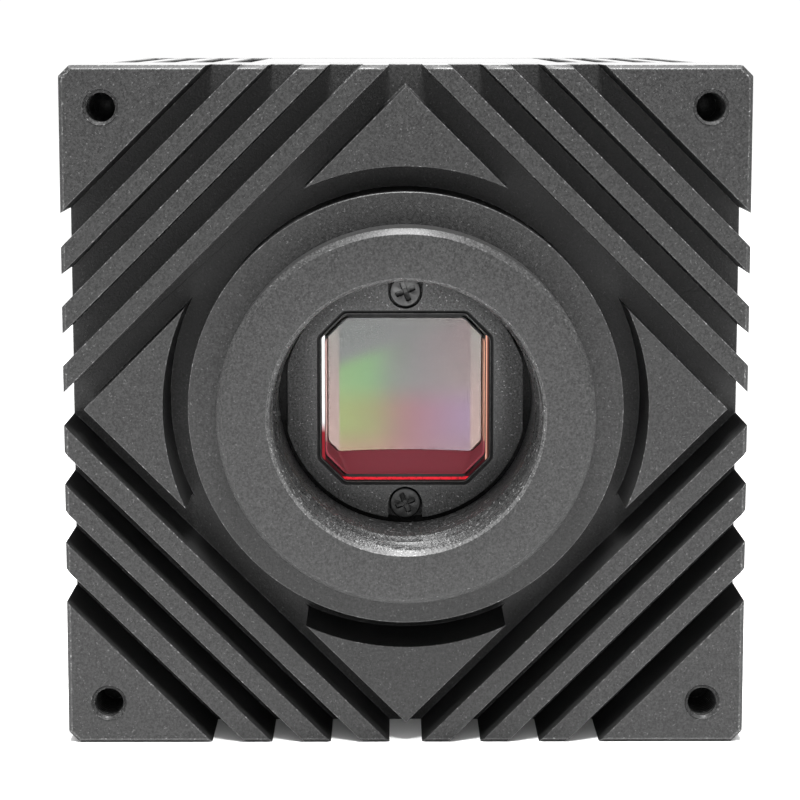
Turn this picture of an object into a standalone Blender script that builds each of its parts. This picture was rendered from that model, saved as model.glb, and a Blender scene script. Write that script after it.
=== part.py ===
"""Cooled astronomy camera: a square finned body with a threaded lens mount in front, a cooled
image sensor behind a window, and a heat sink and fan at the rear.

Metres, +Z up, +X to the right of the lens mount as it is faced, and the mount points along -Y.
The camera stands on its bottom face, with the origin under the middle of its outer box.
"Depth" is measured backwards from the front face, and X and Z outlines from the optical axis.
"""

import math

import bmesh
import bpy
from mathutils import Matrix

MM = 0.001
ROOT2 = math.sqrt(2)

# Driving dimensions: the body.
BODY = 63.5 * MM
BODY_DEPTH = 66.0 * MM
CORNER_CUT = 1.0 * MM
FRONT_DEPTH = 20.0 * MM
COVER_THICKNESS = 3.0 * MM
GAP = 0.3 * MM
CLOSE_GAP = 0.2 * MM
PAST = 1.0 * MM

# Driving dimensions: the lens mount, 1 inch by 32 threads, and the sensor's place behind it.
RING_PROUD = 5.0 * MM
RING_RADIUS = 17.25 * MM
RING_CHAMFER = 0.55 * MM
THREAD_RADIUS = 12.7 * MM
THREAD_CHAMFER = 0.15 * MM
THREAD_END = 0.0 * MM
RING_BORE_RADIUS = 12.0 * MM
RING_STEM_RADIUS = 15.0 * MM
RING_STEM_DEPTH = 5.2 * MM
RING_NOSE_RADIUS = 13.0 * MM
RING_NOSE_DEPTH = 6.5 * MM
MOUNT_SEAL_RADII = (13.6 * MM, 14.9 * MM)
MOUNT_SEAL_THICKNESS = 0.5 * MM
FLANGE_FOCUS = 17.526 * MM
DIE_SIDE = 12.8 * MM

# Front relief: distances of the diagonal edges from the optical axis.
GROOVE_DEPTH = 7.5 * MM
FLANGE_RADIUS = 20.2 * MM
ARC_RADIUS = 22.5 * MM
POST_EDGE = 21.1 * MM
FIN_BANDS = [(23.5 * MM, 25.3 * MM), (27.4 * MM, 29.2 * MM), (31.3 * MM, 33.1 * MM)]
CORNER_EDGE = 35.3 * MM
OVERRUN = 0.8 * MM
FRONT_HOLE_PLACE = 27.9 * MM
FRONT_HOLE_RADIUS = 1.4 * MM
FRONT_HOLE_SINK = 1.58 * MM
FRONT_HOLE_DEPTH = 6.0 * MM
DRILL_POINT = 0.6

# Lengthwise grooves of the housing and the inner cavity that they surround.
SIDE_GROOVES = [16.45 * MM, 20.27 * MM, 24.09 * MM, 27.91 * MM]
SIDE_GROOVE_WIDTH = 2.1 * MM
SIDE_GROOVE_DEPTH = 2.0 * MM
CAVITY = 52.0 * MM
CAVITY_CUT = 8.0 * MM
BOARD_SIDE = 50.8 * MM
BOARD_CUT = 8.3 * MM
VENT_PITCH = 3.82 * MM
VENT_ROWS = 3
VENT_WIDTH = 2.1 * MM
VENT_DEPTHS = (37.0 * MM, 50.0 * MM)

# Window plate and window.
PLATE_FRONT = 6.8 * MM
PLATE_THICKNESS = 2.4 * MM
PLATE_RADIUS = 11.7 * MM
PLATE_FLAT = 11.25 * MM
PLATE_POCKET_RADIUS = 13.3 * MM
WINDOW_OPENING = 16.8 * MM
WINDOW_CUT = 2.4 * MM
WINDOW_SIDE = 16.0 * MM
WINDOW_THICKNESS = 1.0 * MM
WINDOW_STEP = 2.0 * MM
LIP_OPENING = 15.4 * MM
LIP_CUT = 2.0 * MM
SENSOR_OPENING = 17.0 * MM
WINDOW_SCREW_PLACE = 10.25 * MM
WINDOW_SCREW_HEAD = (1.475 * MM, 0.8 * MM, 0.15 * MM)
WINDOW_SCREW_SHANK = 0.75 * MM
WINDOW_SCREW_REACH = 1.0 * MM
CROSS_ARM = (1.9 * MM, 0.5 * MM, 0.45 * MM)
CROSS_TURN = 22
NOTCH_RADIUS = 1.65 * MM
NOTCH_DEPTH = 1.3 * MM

# Sensor stack, from the cover glass back to the heat sink.
WALL_BACK = 11.4 * MM
PACKAGE_SIDE = 21.0 * MM
PACKAGE_DEPTHS = (11.9 * MM, 14.6 * MM)
COVER_RECESS = (19.2 * MM, 0.5 * MM)
DIE_WELL = (15.5 * MM, 1.3 * MM)
DIE_THICKNESS = 0.4 * MM
COVER_GLASS_SIDE = 18.8 * MM
COVER_GLASS_DEPTHS = (11.7 * MM, 12.2 * MM)
SENSOR_BOARD_SIDE = 36.0 * MM
SENSOR_BOARD_DEPTHS = (14.9 * MM, 16.5 * MM)
INSULATOR_INNER = 42.0 * MM
INSULATOR_CUT = 6.0 * MM
INSULATOR_DEPTHS = (11.7 * MM, 16.0 * MM)
SEAL_DEPTHS = (16.3 * MM, 16.9 * MM)
BASE_DEPTHS = (17.2 * MM, 19.8 * MM)
BASE_HOLE = 17.0 * MM
BASE_POST_RADIUS = 2.2 * MM
DESICCANT_PLACE = 14.4 * MM
DESICCANT_RADIUS = 3.2 * MM
DESICCANT_DEPTHS = (12.0 * MM, 14.4 * MM)
COLLAR_DEPTHS = (16.9 * MM, 20.4 * MM)
FINGER_SIDE = 11.0 * MM
FINGER_HEAD_SIDE = 15.0 * MM
FINGER_DEPTHS = (14.9 * MM, 20.7 * MM, 22.0 * MM)
COOLER_ONE = (15.0 * MM, 22.3 * MM, 25.3 * MM)
COOLER_TWO = (20.0 * MM, 25.6 * MM, 28.9 * MM)
COOLER_PLATE = 0.8 * MM
COOLER_LEG = 1.6 * MM
COOLER_ROWS = 4
COOLER_RIM = 1.25 * MM
MAIN_BOARD_DEPTHS = (22.4 * MM, 24.0 * MM)
MAIN_BOARD_HOLE = 24.0 * MM
SINK_PEDESTAL = 21.0 * MM
SINK_SIDE = 49.0 * MM
SINK_DEPTHS = (29.2 * MM, 32.0 * MM, 35.0 * MM, 50.5 * MM)
SINK_FIN = 1.1 * MM
SINK_PITCH = 3.82 * MM
SINK_SLOTS = 12

# Electronics: side lengths, and distances from the optical axis.
CHIP_STANDOFF = 0.2 * MM
PROCESSOR = (11.0 * MM, 11.0 * MM, 1.5 * MM)
MEMORY = (10.0 * MM, 8.0 * MM, 1.1 * MM)
COIL = (7.0 * MM, 7.0 * MM, 3.0 * MM)
CHIP_PLACE = 18.6 * MM
LOWER_MEMORY_PLACE = -18.0 * MM
FILM = 0.3 * MM
SENSOR_FLEX = (11.0 * MM, -13.5 * MM)
SENSOR_FLEX_SLOT = (0.9 * MM, 13.0 * MM)
IO_FLEX = (12.0 * MM, -25.3 * MM)
IO_BOARD_SIZE = (34.0 * MM, 8.8 * MM)

# Fan.
FAN_SIDE = 40.0 * MM
FAN_RISE = 4.0 * MM
FAN_DEPTHS = (52.5 * MM, 62.5 * MM)
FAN_HOLE_PLACE = 16.0 * MM
DUCT_RADIUS = 18.9 * MM
BLADE_RADIUS = 18.3 * MM
BLADE_COUNT = 7
HUB_RADIUS = 9.4 * MM
HUB_INNER = 8.6 * MM
HUB_DEPTHS = (55.0 * MM, 62.0 * MM)
HUB_CAP = 1.0 * MM
STRUT_WIDTH = 2.0 * MM
STRUT_THICKNESS = 1.4 * MM
STRUT_TURN = 20
BLADE_PITCHES = (52, 36)
BLADE_CHORD = 9.0 * MM
BLADE_RISE = 0.8
BLADE_SWEEP = 0.25
BLADE_CAMBER = 0.5 * MM
BLADE_THICKNESS = 0.8 * MM
BLADE_OFFSET = 0.2 * MM
BEARING_TUBE = (2.0 * MM, 3.0 * MM)
BEARING_STARTS = {"front": 1.6 * MM, "rear": 4.6 * MM}
BEARING_LENGTH = 1.6 * MM
SHAFT_RADIUS = 0.75 * MM
MAGNET_RADII = (7.5 * MM, 8.3 * MM)
STATOR_COIL_RADIUS = 5.0 * MM
STATOR_LIMB = (2.6 * MM, 14.2 * MM, 0.5 * MM)
STATOR_DEPTHS = (2.6 * MM, 6.4 * MM)
LIMB_DEPTHS = {"upright": (2.9 * MM, 6.1 * MM), "crossed": (2.8 * MM, 6.2 * MM)}

# Connectors in the lower strip of the rear cover.
PORT_DROP = 21.2 * MM
USB_PLACE = -9.0 * MM
JACK_PLACE = 8.0 * MM
USB_OUTER = (9.0 * MM, 3.2 * MM)
USB_INNER = (8.4 * MM, 2.6 * MM)
JACK_RADIUS = 4.0 * MM
USB_TONGUE = (6.7 * MM, 0.7 * MM, 0.8 * MM)
JACK_BORE = 3.15 * MM
JACK_BLOCK = (9.0 * MM, 8.6 * MM)
JACK_FLOOR = 1.2 * MM
PIN_RADIUS = 1.0 * MM
LED_PLACE = -0.8 * MM
LED_RADIUS = 1.0 * MM
IO_BOARD_DEPTHS = (57.0 * MM, 58.6 * MM)

# Fasteners.
TIE_PLACE = 24.3 * MM
TIE_HOLE = 1.5 * MM
TIE_HOLE_DEPTH = 6.0 * MM
TIE_HEAD_SINK = (2.4 * MM, 2.0 * MM)
FAN_HEAD_SINK = (2.3 * MM, 1.4 * MM)
FAN_HOLE = 1.4 * MM
GRILLE_RINGS = [(6.4 * MM, 9.2 * MM), (10.6 * MM, 13.4 * MM), (14.8 * MM, 17.6 * MM)]
GRILLE_SPOKE = 1.0 * MM
SMALL_CAP = (1.8 * MM, 1.3 * MM, 0.9 * MM)
TIE_CAP = (2.1 * MM, 1.5 * MM, 1.2 * MM)
FAN_CAP = (2.0 * MM, 1.1 * MM, 1.1 * MM)
SMALL_CLEARANCE_HOLE = 1.1 * MM
SINK_CLEARANCE_HOLE = 1.3 * MM
SINK_ACCESS_RADIUS = 2.2 * MM
BASE_SCREW_PLACE = 19.7 * MM
SINK_SCREW_PLACE = 17.19 * MM

FRONT_Y = RING_PROUD - (BODY_DEPTH + RING_PROUD) / 2
AXIS_Z = BODY / 2
ROUND = 48
MEDIUM_ROUND = 24
SMALL_ROUND = 12
FLAT = math.radians(0.1)
SOFT_EDGE = math.radians(30)

CORNERS = {"top_right": (1, 1), "top_left": (-1, 1), "bottom_left": (-1, -1), "bottom_right": (1, -1)}
SIDES = {"right": (1, 0), "top": (0, 1), "left": (-1, 0), "bottom": (0, -1)}

# Finishes: colour, roughness, metallic.
FINISHES = {
    "black_anodised": ((0.035, 0.035, 0.037), 0.55, 0.7),
    "black_steel": ((0.03, 0.03, 0.03), 0.35, 0.9),
    "rubber": ((0.015, 0.015, 0.015), 0.8, 0.0),
    "window_glass": ((0.5, 0.42, 0.45), 0.05, 0.0),
    "ceramic": ((0.55, 0.53, 0.5), 0.5, 0.0),
    "silicon": ((0.12, 0.1, 0.16), 0.15, 0.5),
    "green_board": ((0.02, 0.13, 0.06), 0.45, 0.0),
    "black_plastic": ((0.02, 0.02, 0.022), 0.5, 0.0),
    "white_plastic": ((0.75, 0.74, 0.7), 0.5, 0.0),
    "copper": ((0.72, 0.36, 0.22), 0.3, 1.0),
    "aluminium": ((0.7, 0.7, 0.71), 0.35, 1.0),
    "steel": ((0.55, 0.55, 0.56), 0.25, 1.0),
    "amber_film": ((0.45, 0.2, 0.03), 0.4, 0.0),
    "green_lens": ((0.2, 0.6, 0.25), 0.2, 0.0),
}


def clear_scene():
    for item in list(bpy.data.objects):
        bpy.data.objects.remove(item, do_unlink=True)
    for group in list(bpy.data.collections):
        bpy.data.collections.remove(group)


def new_group(name):
    group = bpy.data.collections.new(name)
    bpy.context.scene.collection.children.link(group)
    return group


clear_scene()
PARTS = new_group("cooled_astronomy_camera")
CUTTERS = new_group("cutters")


# Placing, finishing and joining.


def place(x, depth, z):
    return (x, FRONT_Y + depth, AXIS_Z + z)


def face_front(piece, x, depth, z):
    """Turns a piece modelled on its own Z axis so that its +Z points out of the front."""
    piece.location = place(x, depth, z)
    piece.rotation_euler = (math.pi / 2, 0, 0)


def finish_piece(piece, finish):
    colour, roughness, metallic = FINISHES[finish]
    material = bpy.data.materials.new(piece.name + "_" + finish)
    material.use_nodes = True
    shader = material.node_tree.nodes["Principled BSDF"]
    shader.inputs["Base Color"].default_value = (*colour, 1)
    shader.inputs["Roughness"].default_value = roughness
    shader.inputs["Metallic"].default_value = metallic
    piece.data.materials.clear()
    piece.data.materials.append(material)
    return piece


def apply_tool(piece, tool, operation):
    """Cuts the tool out of the piece, or joins it to the piece, and files it with the cutters."""
    modifier = piece.modifiers.new(tool.name, "BOOLEAN")
    modifier.operation = operation
    modifier.solver = "EXACT"
    modifier.object = tool
    for group in list(tool.users_collection):
        group.objects.unlink(tool)
    CUTTERS.objects.link(tool)
    tool.hide_render = True
    tool.display_type = "WIRE"
    return piece


def cut(piece, *tools):
    for tool in tools:
        apply_tool(piece, tool, "DIFFERENCE")
    return piece


def join(piece, *tools):
    for tool in tools:
        apply_tool(piece, tool, "UNION")
    return piece


def baked(source, name):
    """A mesh object of what the source evaluates to, with its loose caps welded on."""
    bpy.context.view_layer.update()
    graph = bpy.context.evaluated_depsgraph_get()
    mesh = bpy.data.meshes.new_from_object(source.evaluated_get(graph))
    mesh.name = name
    shape = bmesh.new()
    shape.from_mesh(mesh)
    bmesh.ops.remove_doubles(shape, verts=shape.verts, dist=0.002 * MM)
    bmesh.ops.dissolve_limit(shape, angle_limit=FLAT, verts=shape.verts, edges=shape.edges)
    bmesh.ops.recalc_face_normals(shape, faces=shape.faces)
    shape.to_mesh(mesh)
    shape.free()
    world = source.matrix_world.copy()
    bpy.data.objects.remove(source, do_unlink=True)
    piece = bpy.data.objects.new(name, mesh)
    piece.matrix_world = world
    PARTS.objects.link(piece)
    return piece


def smooth(piece):
    piece.data.shade_smooth()
    piece.data.set_sharp_from_angle(angle=SOFT_EDGE)
    return piece


# Outlines, as lists of (x, z).


def turned_by(loop, degrees):
    cosine = math.cos(math.radians(degrees))
    sine = math.sin(math.radians(degrees))
    return [(x * cosine - z * sine, x * sine + z * cosine) for x, z in loop]


def moved_by(loop, dx, dz):
    return [(x + dx, z + dz) for x, z in loop]


def four_ways(loop):
    return [turned_by(loop, quarter * 90) for quarter in range(4)]


def circle(radius, x=0.0, z=0.0, steps=ROUND):
    angles = [2 * math.pi * step / steps for step in range(steps)]
    return [(x + radius * math.cos(a), z + radius * math.sin(a)) for a in angles]


def arc(radius, start, end, steps):
    """Points on a circle about the origin, from one angle to another, in radians."""
    angles = [start + (end - start) * step / steps for step in range(steps + 1)]
    return [(radius * math.cos(a), radius * math.sin(a)) for a in angles]


def rectangle(width, height, corner=0.0):
    """A rectangle about the origin, with its corners cut at 45 degrees when corner is above 0."""
    x, z = width / 2, height / 2
    if corner <= 0:
        return [(x, -z), (x, z), (-x, z), (-x, -z)]
    inner_x, inner_z = x - corner, z - corner
    return [
        (x, -inner_z), (x, inner_z), (inner_x, z), (-inner_x, z),
        (-x, inner_z), (-x, -inner_z), (-inner_x, -z), (inner_x, -z),
    ]


def square(side, corner=0.0):
    return rectangle(side, side, corner)


def rounded_rectangle(width, height, radius, steps=4):
    loop = []
    for quarter, (sign_x, sign_z) in enumerate([(1, 1), (-1, 1), (-1, -1), (1, -1)]):
        start = quarter * math.pi / 2
        corner = arc(radius, start, start + math.pi / 2, steps)
        loop += moved_by(corner, sign_x * (width / 2 - radius), sign_z * (height / 2 - radius))
    return loop


def side_grooves():
    """Outlines of the lengthwise grooves: four near each end of each side of the housing."""
    height = SIDE_GROOVE_DEPTH + OVERRUN
    centre = BODY / 2 - SIDE_GROOVE_DEPTH + height / 2
    grooves = []
    for place_along in SIDE_GROOVES:
        for sign in (-1, 1):
            groove = moved_by(rectangle(SIDE_GROOVE_WIDTH, height), sign * place_along, centre)
            grooves += four_ways(groove)
    return grooves


# Solids.


def extruded(name, loops, front, back, finish="black_anodised"):
    """A flat outline, with any holes as further loops, from one depth to another."""
    curve = bpy.data.curves.new(name, "CURVE")
    curve.dimensions = "2D"
    curve.fill_mode = "BOTH"
    curve.extrude = (back - front) / 2
    for loop in loops:
        spline = curve.splines.new("POLY")
        spline.points.add(len(loop) - 1)
        for point, (x, z) in zip(spline.points, loop):
            point.co = (x, z, 0, 1)
        spline.use_cyclic_u = True
    source = bpy.data.objects.new(name + "_outline", curve)
    bpy.context.scene.collection.objects.link(source)
    face_front(source, 0, (front + back) / 2, 0)
    return smooth(finish_piece(baked(source, name), finish))


def turned(name, profile, finish="black_anodised", x=0.0, z=0.0, ring=False, steps=ROUND):
    """A solid turned about an axis along Y. The profile is (radius, depth), front to back on its
    outer side: it starts and ends on the axis, or closes on itself when ring is set."""
    mesh = bpy.data.meshes.new(name)
    edges = [(step, step + 1) for step in range(len(profile) - 1)]
    if ring:
        edges.append((len(profile) - 1, 0))
    mesh.from_pydata([(radius, 0, -depth) for radius, depth in profile], edges, [])
    piece = bpy.data.objects.new(name, mesh)
    face_front(piece, x, 0, z)
    PARTS.objects.link(piece)
    turn = piece.modifiers.new("turn", "SCREW")
    turn.steps = steps
    turn.render_steps = steps
    turn.use_merge_vertices = True
    turn.merge_threshold = 0.001 * MM
    turn.use_smooth_shade = True
    return finish_piece(piece, finish)


def rod(name, radius, front, back, finish="black_anodised", x=0.0, z=0.0, steps=ROUND):
    profile = [(0, front), (radius, front), (radius, back), (0, back)]
    return turned(name, profile, finish, x, z, steps=steps)


def tube(name, inner, outer, front, back, finish="black_anodised", x=0.0, z=0.0, steps=ROUND):
    profile = [(inner, front), (outer, front), (outer, back), (inner, back)]
    return turned(name, profile, finish, x, z, ring=True, steps=steps)


def block(name, width, height, front, back, finish="black_anodised", x=0.0, z=0.0):
    """A box of the given width and height, from one depth to another."""
    bpy.ops.mesh.primitive_cube_add(size=1)
    piece = bpy.context.active_object
    piece.name = name
    piece.data.name = name
    piece.data.transform(Matrix.Diagonal((width, back - front, height, 1)))
    piece.location = place(x, (front + back) / 2, z)
    for group in list(piece.users_collection):
        group.objects.unlink(piece)
    PARTS.objects.link(piece)
    return finish_piece(piece, finish)


def cap_screw(name, x, z, seat, tip, head, finish="black_steel"):
    """A cylinder-head screw driven from the rear, with a hexagon socket in its head. The head is
    its radius, its height and the radius of the shank."""
    head_radius, head_height, shank_radius = head
    top = seat + head_height
    profile = [
        (0, tip), (shank_radius, tip), (shank_radius, seat), (head_radius, seat),
        (head_radius, top), (0, top),
    ]
    screw = turned(name, profile, finish, x, z, steps=SMALL_ROUND)
    socket = rod(name + "_socket", head_radius * 0.5, top - head_height * 0.6, top + head_height,
                 x=x, z=z, steps=6)
    return cut(screw, socket)


# The front: finned housing, mount ring and window.


def front_housing():
    half = BODY / 2
    reach = half + OVERRUN
    tip = POST_EDGE * ROOT2
    spread = math.sqrt(2 * ARC_RADIUS ** 2 - tip ** 2)
    foot = ((tip - spread) / 2, (tip + spread) / 2)
    start = math.atan2(foot[1], foot[0])
    post = [(0, tip)] + arc(ARC_RADIUS, math.pi - start, start, 8)
    fins = []
    for inner, outer in FIN_BANDS:
        near, far = inner * ROOT2 - reach, outer * ROOT2 - reach
        fins.append([(reach, near), (reach, far), (far, reach), (near, reach)])
    near = CORNER_EDGE * ROOT2 - reach
    corner = [(reach, near), (reach, reach), (near, reach)]
    relief = [square(2 * (reach + OVERRUN)), circle(FLANGE_RADIUS)]
    for island in [post, *fins, corner]:
        relief += four_ways(island)

    housing = extruded("front_housing", [square(BODY, CORNER_CUT)], 0, FRONT_DEPTH)
    cut(housing, extruded("front_relief", relief, -PAST, GROOVE_DEPTH))
    stem, pocket = RING_STEM_RADIUS + GAP, PLATE_POCKET_RADIUS
    stem_floor = RING_STEM_DEPTH + MOUNT_SEAL_THICKNESS + 2 * GAP
    plate_floor = PLATE_FRONT + PLATE_THICKNESS + GAP
    cut(housing, turned("bore_cutter", [
        (0, -PAST), (stem, -PAST), (stem, stem_floor), (pocket, stem_floor), (pocket, plate_floor),
        (0, plate_floor),
    ]))
    cut(housing, extruded("sensor_opening_cutter", [square(SENSOR_OPENING, WINDOW_CUT)],
                          plate_floor - PAST, WALL_BACK + PAST))
    cut(housing, extruded("rear_pocket_cutter", [square(CAVITY, CAVITY_CUT)],
                          WALL_BACK, FRONT_DEPTH + PAST))
    for name, (sx, sz) in CORNERS.items():
        cut(housing, front_hole(name, sx * FRONT_HOLE_PLACE, sz * FRONT_HOLE_PLACE))
        cut(housing, rod("tie_hole_" + name, TIE_HOLE, FRONT_DEPTH - TIE_HOLE_DEPTH, FRONT_DEPTH + PAST,
                         x=sx * TIE_PLACE, z=sz * TIE_PLACE, steps=SMALL_ROUND))
    for name, (sx, sz) in SIDES.items():
        cut(housing, rod("base_hole_" + name, SMALL_CLEARANCE_HOLE, WALL_BACK - 1.8 * MM, WALL_BACK + PAST,
                         x=sx * BASE_SCREW_PLACE, z=sz * BASE_SCREW_PLACE, steps=SMALL_ROUND))
    hole_radius = WINDOW_SCREW_SHANK + CLOSE_GAP
    hole_depth = WINDOW_SCREW_REACH + CLOSE_GAP
    for name, sz in (("top", 1), ("bottom", -1)):
        cut(housing, rod("window_hole_" + name, hole_radius, plate_floor - PAST, plate_floor + hole_depth,
                         z=sz * WINDOW_SCREW_PLACE, steps=SMALL_ROUND))
    return housing


def front_hole(name, x, z):
    """The cutter for one corner hole: a small sink at its mouth and a drilled point at its end."""
    radius, sink = FRONT_HOLE_RADIUS, FRONT_HOLE_SINK
    return turned("front_hole_" + name, [
        (0, -PAST), (sink, -PAST), (sink, 0), (radius, sink - radius), (radius, FRONT_HOLE_DEPTH),
        (0, FRONT_HOLE_DEPTH + radius * DRILL_POINT),
    ], x=x, z=z, steps=16)


def mount_ring():
    front = -RING_PROUD
    return turned("mount_ring", [
        (THREAD_RADIUS + THREAD_CHAMFER, front), (RING_RADIUS - RING_CHAMFER, front),
        (RING_RADIUS, front + RING_CHAMFER), (RING_RADIUS, -GAP), (RING_STEM_RADIUS, -GAP),
        (RING_STEM_RADIUS, RING_STEM_DEPTH), (RING_NOSE_RADIUS, RING_STEM_DEPTH),
        (RING_NOSE_RADIUS, RING_NOSE_DEPTH), (RING_BORE_RADIUS, RING_NOSE_DEPTH),
        (RING_BORE_RADIUS, THREAD_END), (THREAD_RADIUS, THREAD_END),
        (THREAD_RADIUS, front + THREAD_CHAMFER),
    ], ring=True)


def mount_seal():
    front = RING_STEM_DEPTH + GAP
    return tube("mount_seal", *MOUNT_SEAL_RADII, front, front + MOUNT_SEAL_THICKNESS, "rubber")


def window_notch(name, sign):
    """A slot open to the plate's edge, round at the end by the window."""
    loop = arc(NOTCH_RADIUS, math.pi, 2 * math.pi, 12)
    open_end = PLATE_RADIUS - WINDOW_SCREW_PLACE + PAST
    loop += [(NOTCH_RADIUS, open_end), (-NOTCH_RADIUS, open_end)]
    loop = moved_by(loop, 0, WINDOW_SCREW_PLACE)
    if sign < 0:
        loop = turned_by(loop, 180)
    return extruded(name, [loop], PLATE_FRONT - PAST, PLATE_FRONT + NOTCH_DEPTH)


def window_plate():
    back = PLATE_FRONT + PLATE_THICKNESS
    half_angle = math.acos(PLATE_FLAT / PLATE_RADIUS)
    top = arc(PLATE_RADIUS, half_angle, math.pi - half_angle, 24)
    disc = top + turned_by(top, 180)
    hole = WINDOW_SCREW_SHANK + CLOSE_GAP
    holes = [circle(hole, 0, sign * WINDOW_SCREW_PLACE, SMALL_ROUND) for sign in (1, -1)]
    plate = extruded("window_plate", [disc, square(LIP_OPENING, LIP_CUT), *holes], PLATE_FRONT, back)
    cut(plate, extruded("window_step_cutter", [square(WINDOW_OPENING, WINDOW_CUT)],
                        PLATE_FRONT - PAST, PLATE_FRONT + WINDOW_STEP))
    cut(plate, window_notch("top_notch_cutter", 1), window_notch("bottom_notch_cutter", -1))
    return plate


def window_parts():
    glass_front = PLATE_FRONT + GAP
    glass_back = glass_front + WINDOW_THICKNESS
    outline = square(WINDOW_SIDE, WINDOW_CUT - CLOSE_GAP)
    extruded("window_glass", [outline], glass_front, glass_back, "window_glass")
    extruded("window_gasket", [outline, square(LIP_OPENING, LIP_CUT)],
             glass_back + CLOSE_GAP, PLATE_FRONT + WINDOW_STEP - CLOSE_GAP, "rubber")
    window_screw("top", WINDOW_SCREW_PLACE)
    window_screw("bottom", -WINDOW_SCREW_PLACE)


def window_screw(name, z):
    radius, height, edge = WINDOW_SCREW_HEAD
    length, width, recess = CROSS_ARM
    top = PLATE_FRONT + CLOSE_GAP
    seat = top + height
    tip = PLATE_FRONT + PLATE_THICKNESS + GAP + WINDOW_SCREW_REACH
    screw = turned("window_screw_" + name, [
        (0, top), (radius - edge, top), (radius, top + edge), (radius, seat),
        (WINDOW_SCREW_SHANK, seat), (WINDOW_SCREW_SHANK, tip), (0, tip),
    ], "black_steel", 0, z, steps=16)
    for arm, turn in (("wide", CROSS_TURN), ("tall", CROSS_TURN + 90)):
        loop = moved_by(turned_by(rectangle(length, width), turn), 0, z)
        cut(screw, extruded(f"cross_{arm}_{name}", [loop], top - PAST, top + recess))
    return screw


# The cooled sensor and its chamber.


def sensor_stack():
    front, back = PACKAGE_DEPTHS
    package = block("sensor_package", PACKAGE_SIDE, PACKAGE_SIDE, front, back, "ceramic")
    side, recess = COVER_RECESS
    cut(package, block("cover_recess_cutter", side, side, front - PAST, front + recess))
    side, well = DIE_WELL
    cut(package, block("die_well_cutter", side, side, front, front + well))
    block("sensor_cover_glass", COVER_GLASS_SIDE, COVER_GLASS_SIDE, *COVER_GLASS_DEPTHS, "window_glass")
    die_front = FLANGE_FOCUS - RING_PROUD
    block("sensor_die", DIE_SIDE, DIE_SIDE, die_front, die_front + DIE_THICKNESS, "silicon")
    extruded("sensor_board", [square(SENSOR_BOARD_SIDE, 2 * MM), square(FINGER_SIDE + 0.8 * MM)],
             *SENSOR_BOARD_DEPTHS, "green_board")


def sensor_chamber():
    outline = square(BOARD_SIDE, BOARD_CUT)
    inside = square(INSULATOR_INNER, INSULATOR_CUT)
    extruded("chamber_insulator", [outline, inside], *INSULATOR_DEPTHS, "white_plastic")
    extruded("chamber_seal", [outline, inside], *SEAL_DEPTHS, "rubber")
    chamber_base(outline)
    extruded("finger_collar", [square(BASE_HOLE - 2 * GAP), square(FINGER_SIDE + 2 * GAP)],
             *COLLAR_DEPTHS, "white_plastic")
    rod("desiccant_cartridge", DESICCANT_RADIUS, *DESICCANT_DEPTHS, "white_plastic",
        x=DESICCANT_PLACE, steps=MEDIUM_ROUND)
    for name, (sx, sz) in SIDES.items():
        cap_screw("base_screw_" + name, sx * BASE_SCREW_PLACE, sz * BASE_SCREW_PLACE,
                  BASE_DEPTHS[1] + GAP, WALL_BACK - 1.5 * MM, SMALL_CAP)


def chamber_base(outline):
    """The chamber's rear wall, with four posts that the heat sink is screwed to."""
    front, back = BASE_DEPTHS
    holes = [circle(SMALL_CLEARANCE_HOLE, sx * BASE_SCREW_PLACE, sz * BASE_SCREW_PLACE, SMALL_ROUND)
             for sx, sz in SIDES.values()]
    slot = moved_by(rectangle(*SENSOR_FLEX_SLOT), SENSOR_FLEX[1], 0)
    base = extruded("chamber_base", [outline, square(BASE_HOLE), slot, *holes], front, back, "aluminium")
    post_end = MAIN_BOARD_DEPTHS[0] - GAP
    for name, (sx, sz) in CORNERS.items():
        x, z = sx * SINK_SCREW_PLACE, sz * SINK_SCREW_PLACE
        join(base, rod("base_post_" + name, BASE_POST_RADIUS, back - 0.5 * MM, post_end, "aluminium",
                       x, z, SMALL_ROUND))
        cut(base, rod("post_hole_" + name, SMALL_CLEARANCE_HOLE, front + 0.6 * MM, post_end + PAST,
                      x=x, z=z, steps=SMALL_ROUND))
    return base


def thermoelectric_module(name, side, front, back):
    """Two ceramic plates joined by a grid of semiconductor legs."""
    plate = COOLER_PLATE
    module = block(name, side, side, front, front + plate, "ceramic")
    join(module, block(name + "_far_plate", side, side, back - plate, back))
    middle = (COOLER_ROWS - 1) / 2
    step = (side / 2 - COOLER_RIM) / middle
    legs = []
    for row in range(COOLER_ROWS):
        for column in range(COOLER_ROWS):
            legs.append(moved_by(square(COOLER_LEG), (row - middle) * step, (column - middle) * step))
    join(module, extruded(name + "_legs", legs, front + plate / 2, back - plate / 2))
    return module


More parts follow.
